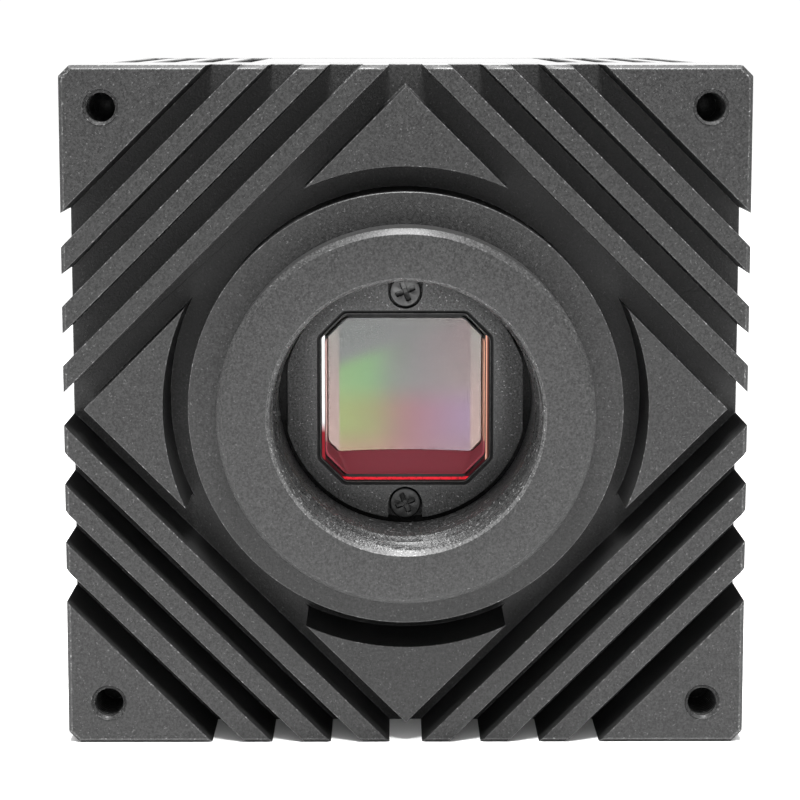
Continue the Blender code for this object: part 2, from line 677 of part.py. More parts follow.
def cooling_stack():
    front, shoulder, back = FINGER_DEPTHS
    finger = block("cold_finger", FINGER_SIDE, FINGER_SIDE, front, shoulder + 0.5 * MM, "copper")
    join(finger, block("finger_head", FINGER_HEAD_SIDE, FINGER_HEAD_SIDE, shoulder, back))
    thermoelectric_module("cooler_first_stage", *COOLER_ONE)
    thermoelectric_module("cooler_second_stage", *COOLER_TWO)

    pedestal, base, fins, back = SINK_DEPTHS
    screw_holes = [circle(SINK_CLEARANCE_HOLE, sx * SINK_SCREW_PLACE, sz * SINK_SCREW_PLACE, SMALL_ROUND)
                   for sx, sz in CORNERS.values()]
    sink = extruded("heat_sink", [square(SINK_SIDE, BOARD_CUT), *screw_holes], base, back, "aluminium")
    join(sink, block("sink_pedestal", SINK_PEDESTAL, SINK_PEDESTAL, pedestal, base + 0.5 * MM))
    slots = []
    for row in range(SINK_SLOTS):
        z = (row - (SINK_SLOTS - 1) / 2) * SINK_PITCH
        slots.append(moved_by(rectangle(BODY, SINK_PITCH - SINK_FIN), 0, z))
    cut(sink, extruded("sink_slot_cutter", slots, fins, back + PAST))
    for name, (sx, sz) in CORNERS.items():
        x, z = sx * SINK_SCREW_PLACE, sz * SINK_SCREW_PLACE
        cut(sink, rod("sink_access_" + name, SINK_ACCESS_RADIUS, fins, back + PAST,
                      x=x, z=z, steps=SMALL_ROUND))
        cap_screw("sink_screw_" + name, x, z, fins + GAP, BASE_DEPTHS[1] - 1.2 * MM, SMALL_CAP)


# Electronics.


def chip(name, size, x=0.0, z=0.0):
    """A component on the rear face of the main board."""
    width, height, thickness = size
    front = MAIN_BOARD_DEPTHS[1] + CHIP_STANDOFF
    return block(name, width, height, front, front + thickness, "black_plastic", x, z)


def electronics():
    front, back = MAIN_BOARD_DEPTHS
    hole = SMALL_CLEARANCE_HOLE + 0.1 * MM
    holes = [circle(hole, sx * SINK_SCREW_PLACE, sz * SINK_SCREW_PLACE, SMALL_ROUND)
             for sx, sz in CORNERS.values()]
    extruded("main_board", [square(BOARD_SIDE, BOARD_CUT), square(MAIN_BOARD_HOLE), *holes],
             front, back, "green_board")
    chip("processor_chip", PROCESSOR, x=CHIP_PLACE)
    chip("memory_chip_top", MEMORY, z=CHIP_PLACE)
    chip("memory_chip_bottom", MEMORY, z=LOWER_MEMORY_PLACE)
    chip("power_coil", COIL, x=-CHIP_PLACE)
    width, place_along = SENSOR_FLEX
    block("sensor_flex", FILM, width, SENSOR_BOARD_DEPTHS[1] + GAP, front - GAP, "amber_film", x=place_along)
    width, place_along = IO_FLEX
    block("io_flex", width, FILM, back + GAP, IO_BOARD_DEPTHS[0] - GAP, "amber_film", z=place_along)
    block("io_board", *IO_BOARD_SIZE, *IO_BOARD_DEPTHS, "green_board", z=-PORT_DROP)


def connectors():
    front = IO_BOARD_DEPTHS[1] + GAP
    back = BODY_DEPTH
    shell = rounded_rectangle(*USB_OUTER, USB_OUTER[1] / 2 - 0.01 * MM)
    inner = rounded_rectangle(*USB_INNER, USB_INNER[1] / 2 - 0.01 * MM)
    loops = [moved_by(loop, USB_PLACE, -PORT_DROP) for loop in (shell, inner)]
    extruded("usb_shell", loops, front, back, "steel")
    width, thickness, recess = USB_TONGUE
    block("usb_tongue", width, thickness, front, back - recess, "black_plastic", USB_PLACE, -PORT_DROP)

    body_back = BODY_DEPTH - COVER_THICKNESS - GAP
    jack = block("power_jack", *JACK_BLOCK, front, body_back, "black_plastic", JACK_PLACE, -PORT_DROP)
    join(jack, rod("jack_sleeve", JACK_RADIUS, body_back - PAST, back - CLOSE_GAP,
                   x=JACK_PLACE, z=-PORT_DROP, steps=MEDIUM_ROUND))
    cut(jack, rod("jack_bore", JACK_BORE, front + JACK_FLOOR, back + PAST,
                  x=JACK_PLACE, z=-PORT_DROP, steps=MEDIUM_ROUND))
    rod("power_pin", PIN_RADIUS, front + JACK_FLOOR + GAP, back - 1 * MM, "steel",
        JACK_PLACE, -PORT_DROP, steps=SMALL_ROUND)
    rod("status_light", LED_RADIUS, front, back - 0.1 * MM, "green_lens",
        LED_PLACE, -PORT_DROP, steps=MEDIUM_ROUND)


# Housing, rear cover and fan.


def main_housing():
    front, back = FRONT_DEPTH + GAP, BODY_DEPTH - COVER_THICKNESS - GAP
    ties = [circle(TIE_HOLE, sx * TIE_PLACE, sz * TIE_PLACE, SMALL_ROUND) for sx, sz in CORNERS.values()]
    outline = square(BODY, CORNER_CUT)
    housing = extruded("main_housing", [outline, square(CAVITY, CAVITY_CUT), *ties], front, back)
    cut(housing, extruded("side_groove_cutter", side_grooves(), front - PAST, back + PAST))
    for side in (-1, 1):
        for row in range(-VENT_ROWS, VENT_ROWS + 1):
            name = f"vent_{'left' if side < 0 else 'right'}_{row + VENT_ROWS}"
            vent = block(name, BODY / 4, VENT_WIDTH, *VENT_DEPTHS, x=side * BODY / 2, z=row * VENT_PITCH)
            cut(housing, vent)
    return housing


def ring_sector(inner, outer, start, end):
    steps = 5
    return arc(outer, start, end, steps) + arc(inner, end, start, steps)


def grille():
    """Outlines of the air openings: three rings about the fan's axis, each crossed by four spokes."""
    openings = []
    for inner, outer in GRILLE_RINGS:
        spoke_angle = 2 * GRILLE_SPOKE / (inner + outer)
        for quarter in range(4):
            start = quarter * math.pi / 2 + math.pi / 4 + spoke_angle
            end = start + math.pi / 2 - 2 * spoke_angle
            openings.append(moved_by(ring_sector(inner, outer, start, end), 0, FAN_RISE))
    return openings


def rear_cover():
    front = BODY_DEPTH - COVER_THICKNESS
    loops = [square(BODY, CORNER_CUT), *grille()]
    for sx, sz in CORNERS.values():
        loops.append(circle(TIE_HOLE, sx * TIE_PLACE, sz * TIE_PLACE, SMALL_ROUND))
        loops.append(circle(FAN_HOLE, sx * FAN_HOLE_PLACE, sz * FAN_HOLE_PLACE + FAN_RISE, SMALL_ROUND))
    usb_hole = rounded_rectangle(USB_OUTER[0] + 2 * GAP, USB_OUTER[1] + 2 * GAP, USB_OUTER[1] / 2)
    loops.append(moved_by(usb_hole, USB_PLACE, -PORT_DROP))
    loops.append(circle(JACK_RADIUS + GAP, JACK_PLACE, -PORT_DROP, MEDIUM_ROUND))
    loops.append(circle(LED_RADIUS + GAP, LED_PLACE, -PORT_DROP, SMALL_ROUND))
    cover = extruded("rear_cover", loops, front, BODY_DEPTH)
    for name, (sx, sz) in CORNERS.items():
        x, z = sx * TIE_PLACE, sz * TIE_PLACE
        radius, depth = TIE_HEAD_SINK
        cut(cover, rod("tie_sink_" + name, radius, BODY_DEPTH - depth, BODY_DEPTH + PAST,
                       x=x, z=z, steps=16))
        cap_screw("tie_screw_" + name, x, z, BODY_DEPTH - depth + GAP, FRONT_DEPTH - 5.5 * MM, TIE_CAP)
        x, z = sx * FAN_HOLE_PLACE, sz * FAN_HOLE_PLACE + FAN_RISE
        radius, depth = FAN_HEAD_SINK
        cut(cover, rod("fan_sink_" + name, radius, BODY_DEPTH - depth, BODY_DEPTH + PAST,
                       x=x, z=z, steps=16))
        cap_screw("fan_screw_" + name, x, z, BODY_DEPTH - depth + CLOSE_GAP, FAN_DEPTHS[0] + 1 * MM, FAN_CAP)
    return cover


def fan_frame():
    front, back = FAN_DEPTHS
    holes = [circle(FAN_HOLE + 0.1 * MM, sx * FAN_HOLE_PLACE, sz * FAN_HOLE_PLACE + FAN_RISE, SMALL_ROUND)
             for sx, sz in CORNERS.values()]
    outline = moved_by(rounded_rectangle(FAN_SIDE, FAN_SIDE, 3 * MM), 0, FAN_RISE)
    frame = extruded("fan_frame", [outline, circle(DUCT_RADIUS, 0, FAN_RISE), *holes],
                     front, back, "black_plastic")
    hub = rod("fan_hub_plate", HUB_RADIUS, front + 0.1 * MM, front + STRUT_THICKNESS, z=FAN_RISE)
    reach = DUCT_RADIUS + 0.4 * MM
    for quarter in range(4):
        bar = moved_by(rectangle(STRUT_WIDTH, reach), 0, reach / 2)
        strut = moved_by(turned_by(bar, quarter * 90 + STRUT_TURN), 0, FAN_RISE)
        join(hub, extruded(f"fan_strut_{quarter}", [strut],
                           front + 0.2 * MM, front + STRUT_THICKNESS - 0.1 * MM))
    join(frame, baked_solid(hub))
    inner, outer = BEARING_TUBE
    tube_end = HUB_DEPTHS[1] - HUB_CAP - 1.5 * MM
    join(frame, rod("bearing_tube", outer, front + 0.5 * MM, tube_end, z=FAN_RISE, steps=MEDIUM_ROUND))
    cut(frame, rod("bearing_bore", inner, front + 1 * MM, tube_end + PAST, z=FAN_RISE, steps=MEDIUM_ROUND))
    return frame


def baked_solid(piece):
    """The piece with its modifiers applied, so that it can be a clean operand of a further one."""
    return baked(piece, piece.name + "_solid")


def bend_blade(shape, number):
    """Wraps a flat unit grid into one twisted and cambered blade, at its place round the hub."""
    root, tip = HUB_RADIUS - 0.4 * MM, BLADE_RADIUS
    root_pitch, tip_pitch = BLADE_PITCHES
    for vertex in shape.verts:
        along = vertex.co.x + 0.5
        across = vertex.co.y
        radius = root + (tip - root) * along
        pitch = math.radians(root_pitch + (tip_pitch - root_pitch) * along)
        wrap = across * BLADE_CHORD
        sweep = wrap * math.cos(pitch) / radius + BLADE_SWEEP * along ** 2
        rise = wrap * math.sin(pitch) * BLADE_RISE - BLADE_CAMBER * (1 - 4 * across ** 2)
        turn = sweep + 2 * math.pi * number / BLADE_COUNT
        vertex.co = (radius * math.cos(turn), radius * math.sin(turn), rise)


def blade_set():
    """All the blades, each a curved sheet made solid, as one operand for the hub."""
    span, chord = 4, 3
    blades = bmesh.new()
    for number in range(BLADE_COUNT):
        sheet = bpy.data.meshes.new("blade_sheet")
        shape = bmesh.new()
        bmesh.ops.create_grid(shape, x_segments=span, y_segments=chord, size=0.5)
        bend_blade(shape, number)
        shape.to_mesh(sheet)
        shape.free()
        source = bpy.data.objects.new("blade_source", sheet)
        PARTS.objects.link(source)
        thick = source.modifiers.new("thickness", "SOLIDIFY")
        thick.thickness = BLADE_THICKNESS
        thick.offset = 0
        solid = baked(source, "blade_solid")
        blades.from_mesh(solid.data)
        bpy.data.objects.remove(solid, do_unlink=True)
    mesh = bpy.data.meshes.new("blade_set")
    blades.to_mesh(mesh)
    blades.free()
    piece = bpy.data.objects.new("blade_set", mesh)
    face_front(piece, 0, (HUB_DEPTHS[0] + HUB_DEPTHS[1]) / 2 + BLADE_OFFSET, FAN_RISE)
    PARTS.objects.link(piece)
    return piece


def fan_moving_parts():
    front, back = HUB_DEPTHS
    cap = back - HUB_CAP
    edge = 0.6 * MM
    hub = turned("fan_rotor", [
        (0, cap), (HUB_INNER, cap), (HUB_INNER, front), (HUB_RADIUS, front),
        (HUB_RADIUS, back - edge), (HUB_RADIUS - edge, back), (0, back),
    ], "black_plastic", z=FAN_RISE)
    join(hub, blade_set())
    tube("fan_magnet", *MAGNET_RADII, front + 0.4 * MM, cap - GAP, "steel", z=FAN_RISE, steps=MEDIUM_ROUND)
    rod("fan_shaft", SHAFT_RADIUS, FAN_DEPTHS[0] + 1.3 * MM, cap - CLOSE_GAP, "steel",
        z=FAN_RISE, steps=SMALL_ROUND)


def fan_fixed_parts():
    front = FAN_DEPTHS[0]
    inner, outer = SHAFT_RADIUS + 0.1 * MM, BEARING_TUBE[0] - 0.15 * MM
    for name, start in BEARING_STARTS.items():
        tube("fan_bearing_" + name, inner, outer, front + start, front + start + BEARING_LENGTH, "steel",
             z=FAN_RISE, steps=MEDIUM_ROUND)
    core = BEARING_TUBE[1]
    start, end = STATOR_DEPTHS
    stator = tube("fan_stator", core + CLOSE_GAP, STATOR_COIL_RADIUS, front + start, front + end, "copper",
                  z=FAN_RISE, steps=MEDIUM_ROUND)
    limbs = []
    for (name, (start, end)), turn in zip(LIMB_DEPTHS.items(), (0, 90)):
        limb = moved_by(turned_by(rectangle(*STATOR_LIMB), turn), 0, FAN_RISE)
        limbs.append(extruded(f"stator_{name}_limb", [limb], front + start, front + end))
    arms = join(*limbs)
    cut(arms, rod("stator_core", core + 0.8 * MM, front, front + 9 * MM, z=FAN_RISE, steps=MEDIUM_ROUND))
    join(stator, baked_solid(arms))


front_housing()
mount_ring()
mount_seal()
window_plate()
window_parts()
sensor_stack()
sensor_chamber()
cooling_stack()
electronics()
connectors()
main_housing()
rear_cover()
fan_frame()
fan_moving_parts()
fan_fixed_parts()
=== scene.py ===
"""Looks of the cooled astronomy camera: finely made outer pieces, finishes, floor, light and view.

Everything is in metres in the model's own frame: +X right, +Z up, and the lens mount faces -Y.
"Depth" is measured backwards from the front face, and X and Z outlines from the optical axis.
"""
import math

import bmesh
import bpy
from mathutils import Matrix, Vector


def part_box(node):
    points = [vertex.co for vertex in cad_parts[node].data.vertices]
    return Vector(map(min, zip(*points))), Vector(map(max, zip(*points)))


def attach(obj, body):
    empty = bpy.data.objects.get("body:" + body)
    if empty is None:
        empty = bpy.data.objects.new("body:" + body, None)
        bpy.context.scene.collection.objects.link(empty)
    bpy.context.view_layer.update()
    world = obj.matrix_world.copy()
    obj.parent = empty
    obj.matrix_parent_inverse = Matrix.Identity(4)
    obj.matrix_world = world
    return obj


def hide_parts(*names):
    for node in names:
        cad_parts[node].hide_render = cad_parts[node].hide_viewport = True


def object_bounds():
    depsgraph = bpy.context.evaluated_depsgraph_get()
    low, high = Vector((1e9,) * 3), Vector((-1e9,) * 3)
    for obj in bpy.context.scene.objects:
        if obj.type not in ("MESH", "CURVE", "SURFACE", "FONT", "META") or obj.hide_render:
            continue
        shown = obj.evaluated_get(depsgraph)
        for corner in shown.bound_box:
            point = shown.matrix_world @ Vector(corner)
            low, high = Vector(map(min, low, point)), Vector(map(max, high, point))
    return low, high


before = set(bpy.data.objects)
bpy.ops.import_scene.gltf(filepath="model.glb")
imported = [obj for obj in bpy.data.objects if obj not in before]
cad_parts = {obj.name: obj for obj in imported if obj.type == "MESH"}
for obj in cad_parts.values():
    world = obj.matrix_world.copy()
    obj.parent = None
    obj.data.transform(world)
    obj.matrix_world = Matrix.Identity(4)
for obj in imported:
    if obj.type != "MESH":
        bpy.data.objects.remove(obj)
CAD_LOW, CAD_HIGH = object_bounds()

MM = 0.001
ROOT2 = math.sqrt(2)

# Places read from the frame.
HOUSING_LOW, HOUSING_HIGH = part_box("front_housing")
RING_LOW, RING_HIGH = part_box("mount_ring")
PLATE_LOW, PLATE_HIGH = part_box("window_plate")
COVER_LOW, COVER_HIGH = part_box("rear_cover")
MAIN_LOW, MAIN_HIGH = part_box("main_housing")
GLASS_LOW, GLASS_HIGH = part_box("window_glass")
SENSOR_LOW, SENSOR_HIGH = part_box("sensor_cover_glass")
FAN_LOW, FAN_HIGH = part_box("fan_frame")
FRONT_Y = HOUSING_LOW.y
BODY = HOUSING_HIGH.x - HOUSING_LOW.x
AXIS_Z = (HOUSING_LOW.z + HOUSING_HIGH.z) / 2
FAN_Z = (FAN_LOW.z + FAN_HIGH.z) / 2 - AXIS_Z


def depth_of(y):
    return y - FRONT_Y


FRONT_DEPTH = depth_of(HOUSING_HIGH.y)
RING_FRONT = depth_of(RING_LOW.y)
RING_BACK = depth_of(RING_HIGH.y)
RING_RADIUS = (RING_HIGH.x - RING_LOW.x) / 2
PLATE_FRONT = depth_of(PLATE_LOW.y)
PLATE_BACK = depth_of(PLATE_HIGH.y)
PLATE_RADIUS = (PLATE_HIGH.z - PLATE_LOW.z) / 2
PLATE_FLAT = (PLATE_HIGH.x - PLATE_LOW.x) / 2
MAIN_FRONT = depth_of(MAIN_LOW.y)
MAIN_BACK = depth_of(MAIN_HIGH.y)
COVER_FRONT = depth_of(COVER_LOW.y)
COVER_BACK = depth_of(COVER_HIGH.y)
GLASS_FRONT = depth_of(GLASS_LOW.y)
GLASS_BACK = depth_of(GLASS_HIGH.y)
SENSOR_FRONT = depth_of(SENSOR_LOW.y)

# Body and front relief.
CORNER_CUT = 1.0 * MM
RIM_CHAMFER = 0.36 * MM
EDGE_BREAK = 0.09 * MM
OVERRUN = 0.8 * MM
PAST = 1 * MM
WELD = 0.002 * MM
NEAR = 0.01 * MM
GROOVE_DEPTH = 7.5 * MM
FLANGE_RADIUS = 20.2 * MM
ARC_RADIUS = 22.5 * MM
POST_EDGE = 21.1 * MM
FIN_BANDS = [(23.5 * MM, 25.3 * MM), (27.4 * MM, 29.2 * MM), (31.3 * MM, 33.1 * MM)]
CORNER_EDGE = 35.3 * MM
HOLE_PLACE = 27.9 * MM

FINE = 192
ROUND = 96
SMALL = 48
SMOOTH_ANGLE = math.radians(32)
CORNERS = {"top_right": (1, 1), "top_left": (-1, 1), "bottom_left": (-1, -1), "bottom_right": (1, -1)}


# Outlines, as lists of (x, z).


def turned_by(loop, degrees):
    cosine = math.cos(math.radians(degrees))
    sine = math.sin(math.radians(degrees))
    return [(x * cosine - z * sine, x * sine + z * cosine) for x, z in loop]


def moved_by(loop, dx, dz):
    return [(x + dx, z + dz) for x, z in loop]


def four_ways(loop):
    return [turned_by(loop, quarter * 90) for quarter in range(4)]


def circle(radius, x=0.0, z=0.0, steps=ROUND):
    angles = [2 * math.pi * step / steps for step in range(steps)]
    return [(x + radius * math.cos(a), z + radius * math.sin(a)) for a in angles]


def arc(radius, start, end, steps):
    angles = [start + (end - start) * step / steps for step in range(steps + 1)]
    return [(radius * math.cos(a), radius * math.sin(a)) for a in angles]


def rectangle(width, height, corner=0.0):
    """A rectangle about the origin, with its corners cut at 45 degrees when corner is above 0."""
    x, z = width / 2, height / 2
    if corner <= 0:
        return [(x, -z), (x, z), (-x, z), (-x, -z)]
    inner_x, inner_z = x - corner, z - corner
    return [
        (x, -inner_z), (x, inner_z), (inner_x, z), (-inner_x, z),
        (-x, inner_z), (-x, -inner_z), (-inner_x, -z), (inner_x, -z),
    ]


def rounded_corners(loop, radius, steps=5):
    """The outline with each corner replaced by a short curve that starts radius before it."""
    result = []
    for index, corner in enumerate(loop):
        here = Vector(corner)
        before = Vector(loop[index - 1]) - here
        after = Vector(loop[(index + 1) % len(loop)]) - here
        start = here + before.normalized() * min(radius, before.length / 2)
        end = here + after.normalized() * min(radius, after.length / 2)
        for step in range(steps + 1):
            t = step / steps
            point = start * (1 - t) ** 2 + here * 2 * t * (1 - t) + end * t ** 2
            result.append((point.x, point.y))
    return result


def square(side, corner=0.0):
    return rectangle(side, side, corner)


# Meshes. Each is built in place, with its object at the origin.


def at(x, depth, z):
    return Vector((x, FRONT_Y + depth, AXIS_Z + z))


def made(name, shape):
    bmesh.ops.recalc_face_normals(shape, faces=shape.faces)
    mesh = bpy.data.meshes.new(name)
    shape.to_mesh(mesh)
    shape.free()
    piece = bpy.data.objects.new(name, mesh)
    bpy.context.scene.collection.objects.link(piece)
    return piece


def evaluated_mesh(piece):
    bpy.context.view_layer.update()
    graph = bpy.context.evaluated_depsgraph_get()
    return bpy.data.meshes.new_from_object(piece.evaluated_get(graph))


def prism(name, loops, front, back, rounding=0.0):
    """A flat outline, with any holes as further loops, from one depth to another."""
    curve = bpy.data.curves.new(name, "CURVE")
    curve.dimensions = "2D"
    curve.fill_mode = "BOTH"
    curve.extrude = (back - front) / 2 - rounding
    curve.bevel_depth = rounding
    curve.bevel_resolution = 1
    curve.offset = -rounding
    for loop in loops:
        spline = curve.splines.new("POLY")
        spline.points.add(len(loop) - 1)
        for point, (x, z) in zip(spline.points, loop):
            point.co = (x, z, 0, 1)
        spline.use_cyclic_u = True
    source = bpy.data.objects.new(name + "_outline", curve)
    bpy.context.scene.collection.objects.link(source)
    shape = bmesh.new()
    shape.from_mesh(evaluated_mesh(source))
    bpy.data.objects.remove(source)
    shape.transform(Matrix.Translation(at(0, (front + back) / 2, 0)) @ Matrix.Rotation(math.pi / 2, 4, "X"))
    clean(shape)
    return made(name, shape)


def clean(shape):
    bmesh.ops.remove_doubles(shape, verts=shape.verts, dist=WELD)
    bmesh.ops.dissolve_limit(shape, angle_limit=math.radians(0.1), verts=shape.verts, edges=shape.edges)


def lathe(name, profile, closed=False, x=0.0, z=0.0, steps=ROUND, swell=None):
    """A turned piece. The profile is (radius, depth); swell(angle, depth) may add to the radius."""
    shape = bmesh.new()
    rings = []
    for radius, depth in profile:
        if radius <= 0:
            rings.append([shape.verts.new(at(x, depth, z))])
            continue
        ring = []
        for step in range(steps):
            angle = 2 * math.pi * step / steps
            here = radius + (swell(angle, depth, radius) if swell else 0)
            ring.append(shape.verts.new(at(x + here * math.cos(angle), depth, z + here * math.sin(angle))))
        rings.append(ring)
    pairs = list(zip(rings, rings[1:]))
    if closed:
        pairs.append((rings[-1], rings[0]))
    for one, other in pairs:
        for step in range(steps):
            after = (step + 1) % steps
            corners = [one[step % len(one)], one[after % len(one)],
                       other[after % len(other)], other[step % len(other)]]
            shape.faces.new(list(dict.fromkeys(corners)))
    return made(name, shape)


def rod(name, radius, front, back, x=0.0, z=0.0, steps=SMALL):
    return lathe(name, [(0, front), (radius, front), (radius, back), (0, back)], x=x, z=z, steps=steps)


def loft(name, sections):
    """A closed ring of faces through outlines with equal numbers of points, each at its depth."""
    shape = bmesh.new()
    rings = [[shape.verts.new(at(x, depth, z)) for x, z in loop] for loop, depth in sections]
    for one, other in zip(rings, rings[1:] + rings[:1]):
        for index in range(len(one)):
            after = (index + 1) % len(one)
            shape.faces.new([one[index], one[after], other[after], other[index]])
    return made(name, shape)


def softened(profile, radius, steps=3):
    """An open profile with its corners rounded off."""
    rounded = rounded_corners(profile, radius, steps)
    skipped = steps + 1
    return [profile[0]] + rounded[skipped:-skipped] + [profile[-1]]


def combined(name, pieces):
    """Several separate solids as one object, for use as a single tool."""
    shape = bmesh.new()
    for piece in pieces:
        shape.from_mesh(piece.data)
        bpy.data.objects.remove(piece)
    return made(name, shape)


def worked(piece, tool, operation="DIFFERENCE"):
    """Cuts the tool out of the piece, or joins it on, and clears the tool away."""
    modifier = piece.modifiers.new("work", "BOOLEAN")
    modifier.operation = operation
    modifier.solver = "EXACT"
    modifier.object = tool
    mesh = evaluated_mesh(piece)
    piece.modifiers.clear()
    piece.data = mesh
    bpy.data.objects.remove(tool)
    shape = bmesh.new()
    shape.from_mesh(mesh)
    bmesh.ops.remove_doubles(shape, verts=shape.verts, dist=WELD)
    shape.to_mesh(mesh)
    shape.free()
    return piece


def smooth(piece):
    piece.data.shade_smooth()
    piece.data.set_sharp_from_angle(angle=SMOOTH_ANGLE)
    return piece


def broken_edges(piece, width=EDGE_BREAK, segments=2, clamp=False):
    """Small rounded edges; their faces take the second material."""
    piece.data.shade_smooth()
    bevel = piece.modifiers.new("edges", "BEVEL")
    bevel.width = width
    bevel.segments = segments
    bevel.limit_method = "ANGLE"
    bevel.angle_limit = math.radians(28)
    bevel.use_clamp_overlap = clamp
    bevel.material = 1
    normals = piece.modifiers.new("normals", "WEIGHTED_NORMAL")
    normals.keep_sharp = True
    return piece


def show(piece, finishes, nodes=(), body="camera"):
    """Gives a piece its finishes, and says what it rides on and what it stands for."""
    chosen = [face.material_index for face in piece.data.polygons]
    piece.data.materials.clear()
    for finish in finishes:
        piece.data.materials.append(finish)
    piece.data.polygons.foreach_set("material_index", chosen)
    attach(piece, body)
    if nodes:
        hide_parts(*nodes)
    return piece


# Finishes. Places in them are in millimetres from the optical axis.

SUBTLE = 0.02 * MM
TO_MILLIMETRES = (1000, 1000, 1000)


class Finish:
    """A procedural material, built from small named steps in object coordinates."""

    def __init__(self, name, roughness=0.5, metallic=0.0, specular=0.5):
        self.material = bpy.data.materials.new(name)
        self.material.use_nodes = True
        self.nodes = self.material.node_tree.nodes
        self.links = self.material.node_tree.links
        self.shader = self.nodes["Principled BSDF"]
        self.shader.inputs["Roughness"].default_value = roughness
        self.shader.inputs["Metallic"].default_value = metallic
        self.shader.inputs["Specular IOR Level"].default_value = specular
        self.place = self.nodes.new("ShaderNodeTexCoord").outputs["Object"]

    def feed(self, socket, value):
        if isinstance(value, bpy.types.NodeSocket):
            self.links.new(value, socket)
        elif isinstance(value, tuple) and len(value) == 3:
            socket.default_value = (*value, 1) if socket.type == "RGBA" else value
        else:
            socket.default_value = value

    def put(self, **values):
        for name, value in values.items():
            self.feed(self.shader.inputs[name.replace("_", " ")], value)
        return self

    def noise(self, scale, detail=2.0, roughness=0.5, stretch=None):
        node = self.nodes.new("ShaderNodeTexNoise")
        node.inputs["Scale"].default_value = scale
        node.inputs["Detail"].default_value = detail
        node.inputs["Roughness"].default_value = roughness
        self.feed(node.inputs["Vector"], self.moved(scale=stretch) if stretch else self.place)
        return node.outputs[0]

    def cells(self, scale):
        node = self.nodes.new("ShaderNodeTexVoronoi")
        node.inputs["Scale"].default_value = scale
        self.feed(node.inputs["Vector"], self.place)
        return node.outputs["Distance"]

    def moved(self, origin=(0, 0, 0), scale=(1, 1, 1)):
        """Object coordinates measured from an origin, and divided or stretched by a scale."""
        shift = self.nodes.new("ShaderNodeVectorMath")
        shift.operation = "SUBTRACT"
        self.feed(shift.inputs[0], self.place)
        self.feed(shift.inputs[1], tuple(origin))
        stretch = self.nodes.new("ShaderNodeVectorMath")
        stretch.operation = "MULTIPLY"
        self.feed(stretch.inputs[0], shift.outputs[0])
        self.feed(stretch.inputs[1], tuple(scale))
        return stretch.outputs[0]

    def part(self, vector, axis):
        node = self.nodes.new("ShaderNodeSeparateXYZ")
        self.feed(node.inputs[0], vector)
        return node.outputs[axis]

    def places(self):
        """Millimetres across and up from the optical axis."""
        centred = self.moved(at(0, 0, 0), TO_MILLIMETRES)
        return self.part(centred, "X"), self.part(centred, "Z")

    def between(self, value, low, high, to_low=0.0, to_high=1.0, kind="LINEAR"):
        node = self.nodes.new("ShaderNodeMapRange")
        node.interpolation_type = kind
        self.feed(node.inputs["Value"], value)
        for name, number in (("From Min", low), ("From Max", high), ("To Min", to_low), ("To Max", to_high)):
            node.inputs[name].default_value = number
        return node.outputs["Result"]

    def eased(self, value, low, high, kind="SMOOTHSTEP"):
        return self.between(value, low, high, 0.0, 1.0, kind)

    def ramp(self, value, low, high, stops):
        """A smooth gradient: the stops are (value, colour) between the low and high values."""
        node = self.nodes.new("ShaderNodeValToRGB")
        node.color_ramp.interpolation = "B_SPLINE"
        points = node.color_ramp.elements
        while len(points) < len(stops):
            points.new(0.5)
        for point, (place, colour) in zip(points, stops):
            point.position = (place - low) / (high - low)
            point.color = (*colour, 1)
        self.feed(node.inputs[0], self.between(value, low, high))
        return node.outputs[0]

    def sums(self, operation, one, other=0.0):
        node = self.nodes.new("ShaderNodeMath")
        node.operation = operation
        self.feed(node.inputs[0], one)
        self.feed(node.inputs[1], other)
        return node.outputs[0]

    def mix(self, share, one, other, blend="MIX"):
        node = self.nodes.new("ShaderNodeMix")
        node.data_type = "RGBA"
        node.blend_type = blend
        self.feed(node.inputs["Factor"], share)
        self.feed(node.inputs[6], one)
        self.feed(node.inputs[7], other)
        return node.outputs[2]

    def bump(self, height, strength, distance, before=None):
        node = self.nodes.new("ShaderNodeBump")
        node.inputs["Strength"].default_value = strength
        node.inputs["Distance"].default_value = distance
        self.feed(node.inputs["Height"], height)
        if before:
            self.feed(node.inputs["Normal"], before)
        return node.outputs[0]


def grey(value):
    return (value, value, value)


def anodised(name, tone, roughness=0.44, specular=0.5, bump=0.8, painted_glints=0.28, edge=0.0,
             coat=0.05, coat_roughness=0.2):
    """Bead-blasted and black anodised: fine grain, tiny bright specks painted in as glints, and faint broad
    marks.
    """
    finish = Finish(name, roughness, 0.0, specular)
    grain = finish.noise(4600, 2.0, 0.8)
    painted_glint_specks = finish.between(finish.noise(5200, 1.0), 0.68, 0.76, 0.0, painted_glints)
    broad = finish.noise(85, 3.0, 0.6)
    base = finish.mix(finish.between(grain, 0.34, 0.66), grey(tone * 0.35), grey(tone * 1.8))
    base = finish.mix(finish.between(broad, 0.3, 0.7, 0.0, 0.2), base, grey(tone * 0.8))
    # Painted glints: tiny specks of light colour in the base stand in for light sparkling off the grain.
    base = finish.mix(painted_glint_specks, base, grey(tone * 4 + 0.1))
    if edge:
        # Light chips: wear on the bevelled edges, and painted glints where a finish puts them on open faces
        # such as the bore and threads.
        wear_chips_and_glints = finish.between(finish.noise(2600, 2.0, 0.7), 0.58, 0.7)
        base = finish.mix(finish.sums("MULTIPLY", wear_chips_and_glints, edge), base, grey(0.3))
    shine = finish.between(broad, 0.3, 0.7, roughness - 0.03, roughness + 0.03)
    rough = finish.sums("ADD", shine, finish.between(grain, 0.3, 0.7, -0.06, 0.06))
    coarse = finish.bump(finish.noise(2100, 2.0, 0.5), bump * 0.4, 0.03 * MM)
    fine = finish.bump(grain, bump, 0.04 * MM, coarse)
    finish.put(Coat_Weight=coat, Coat_Roughness=coat_roughness)
    return finish.put(Base_Color=base, Roughness=rough, Normal=fine).material


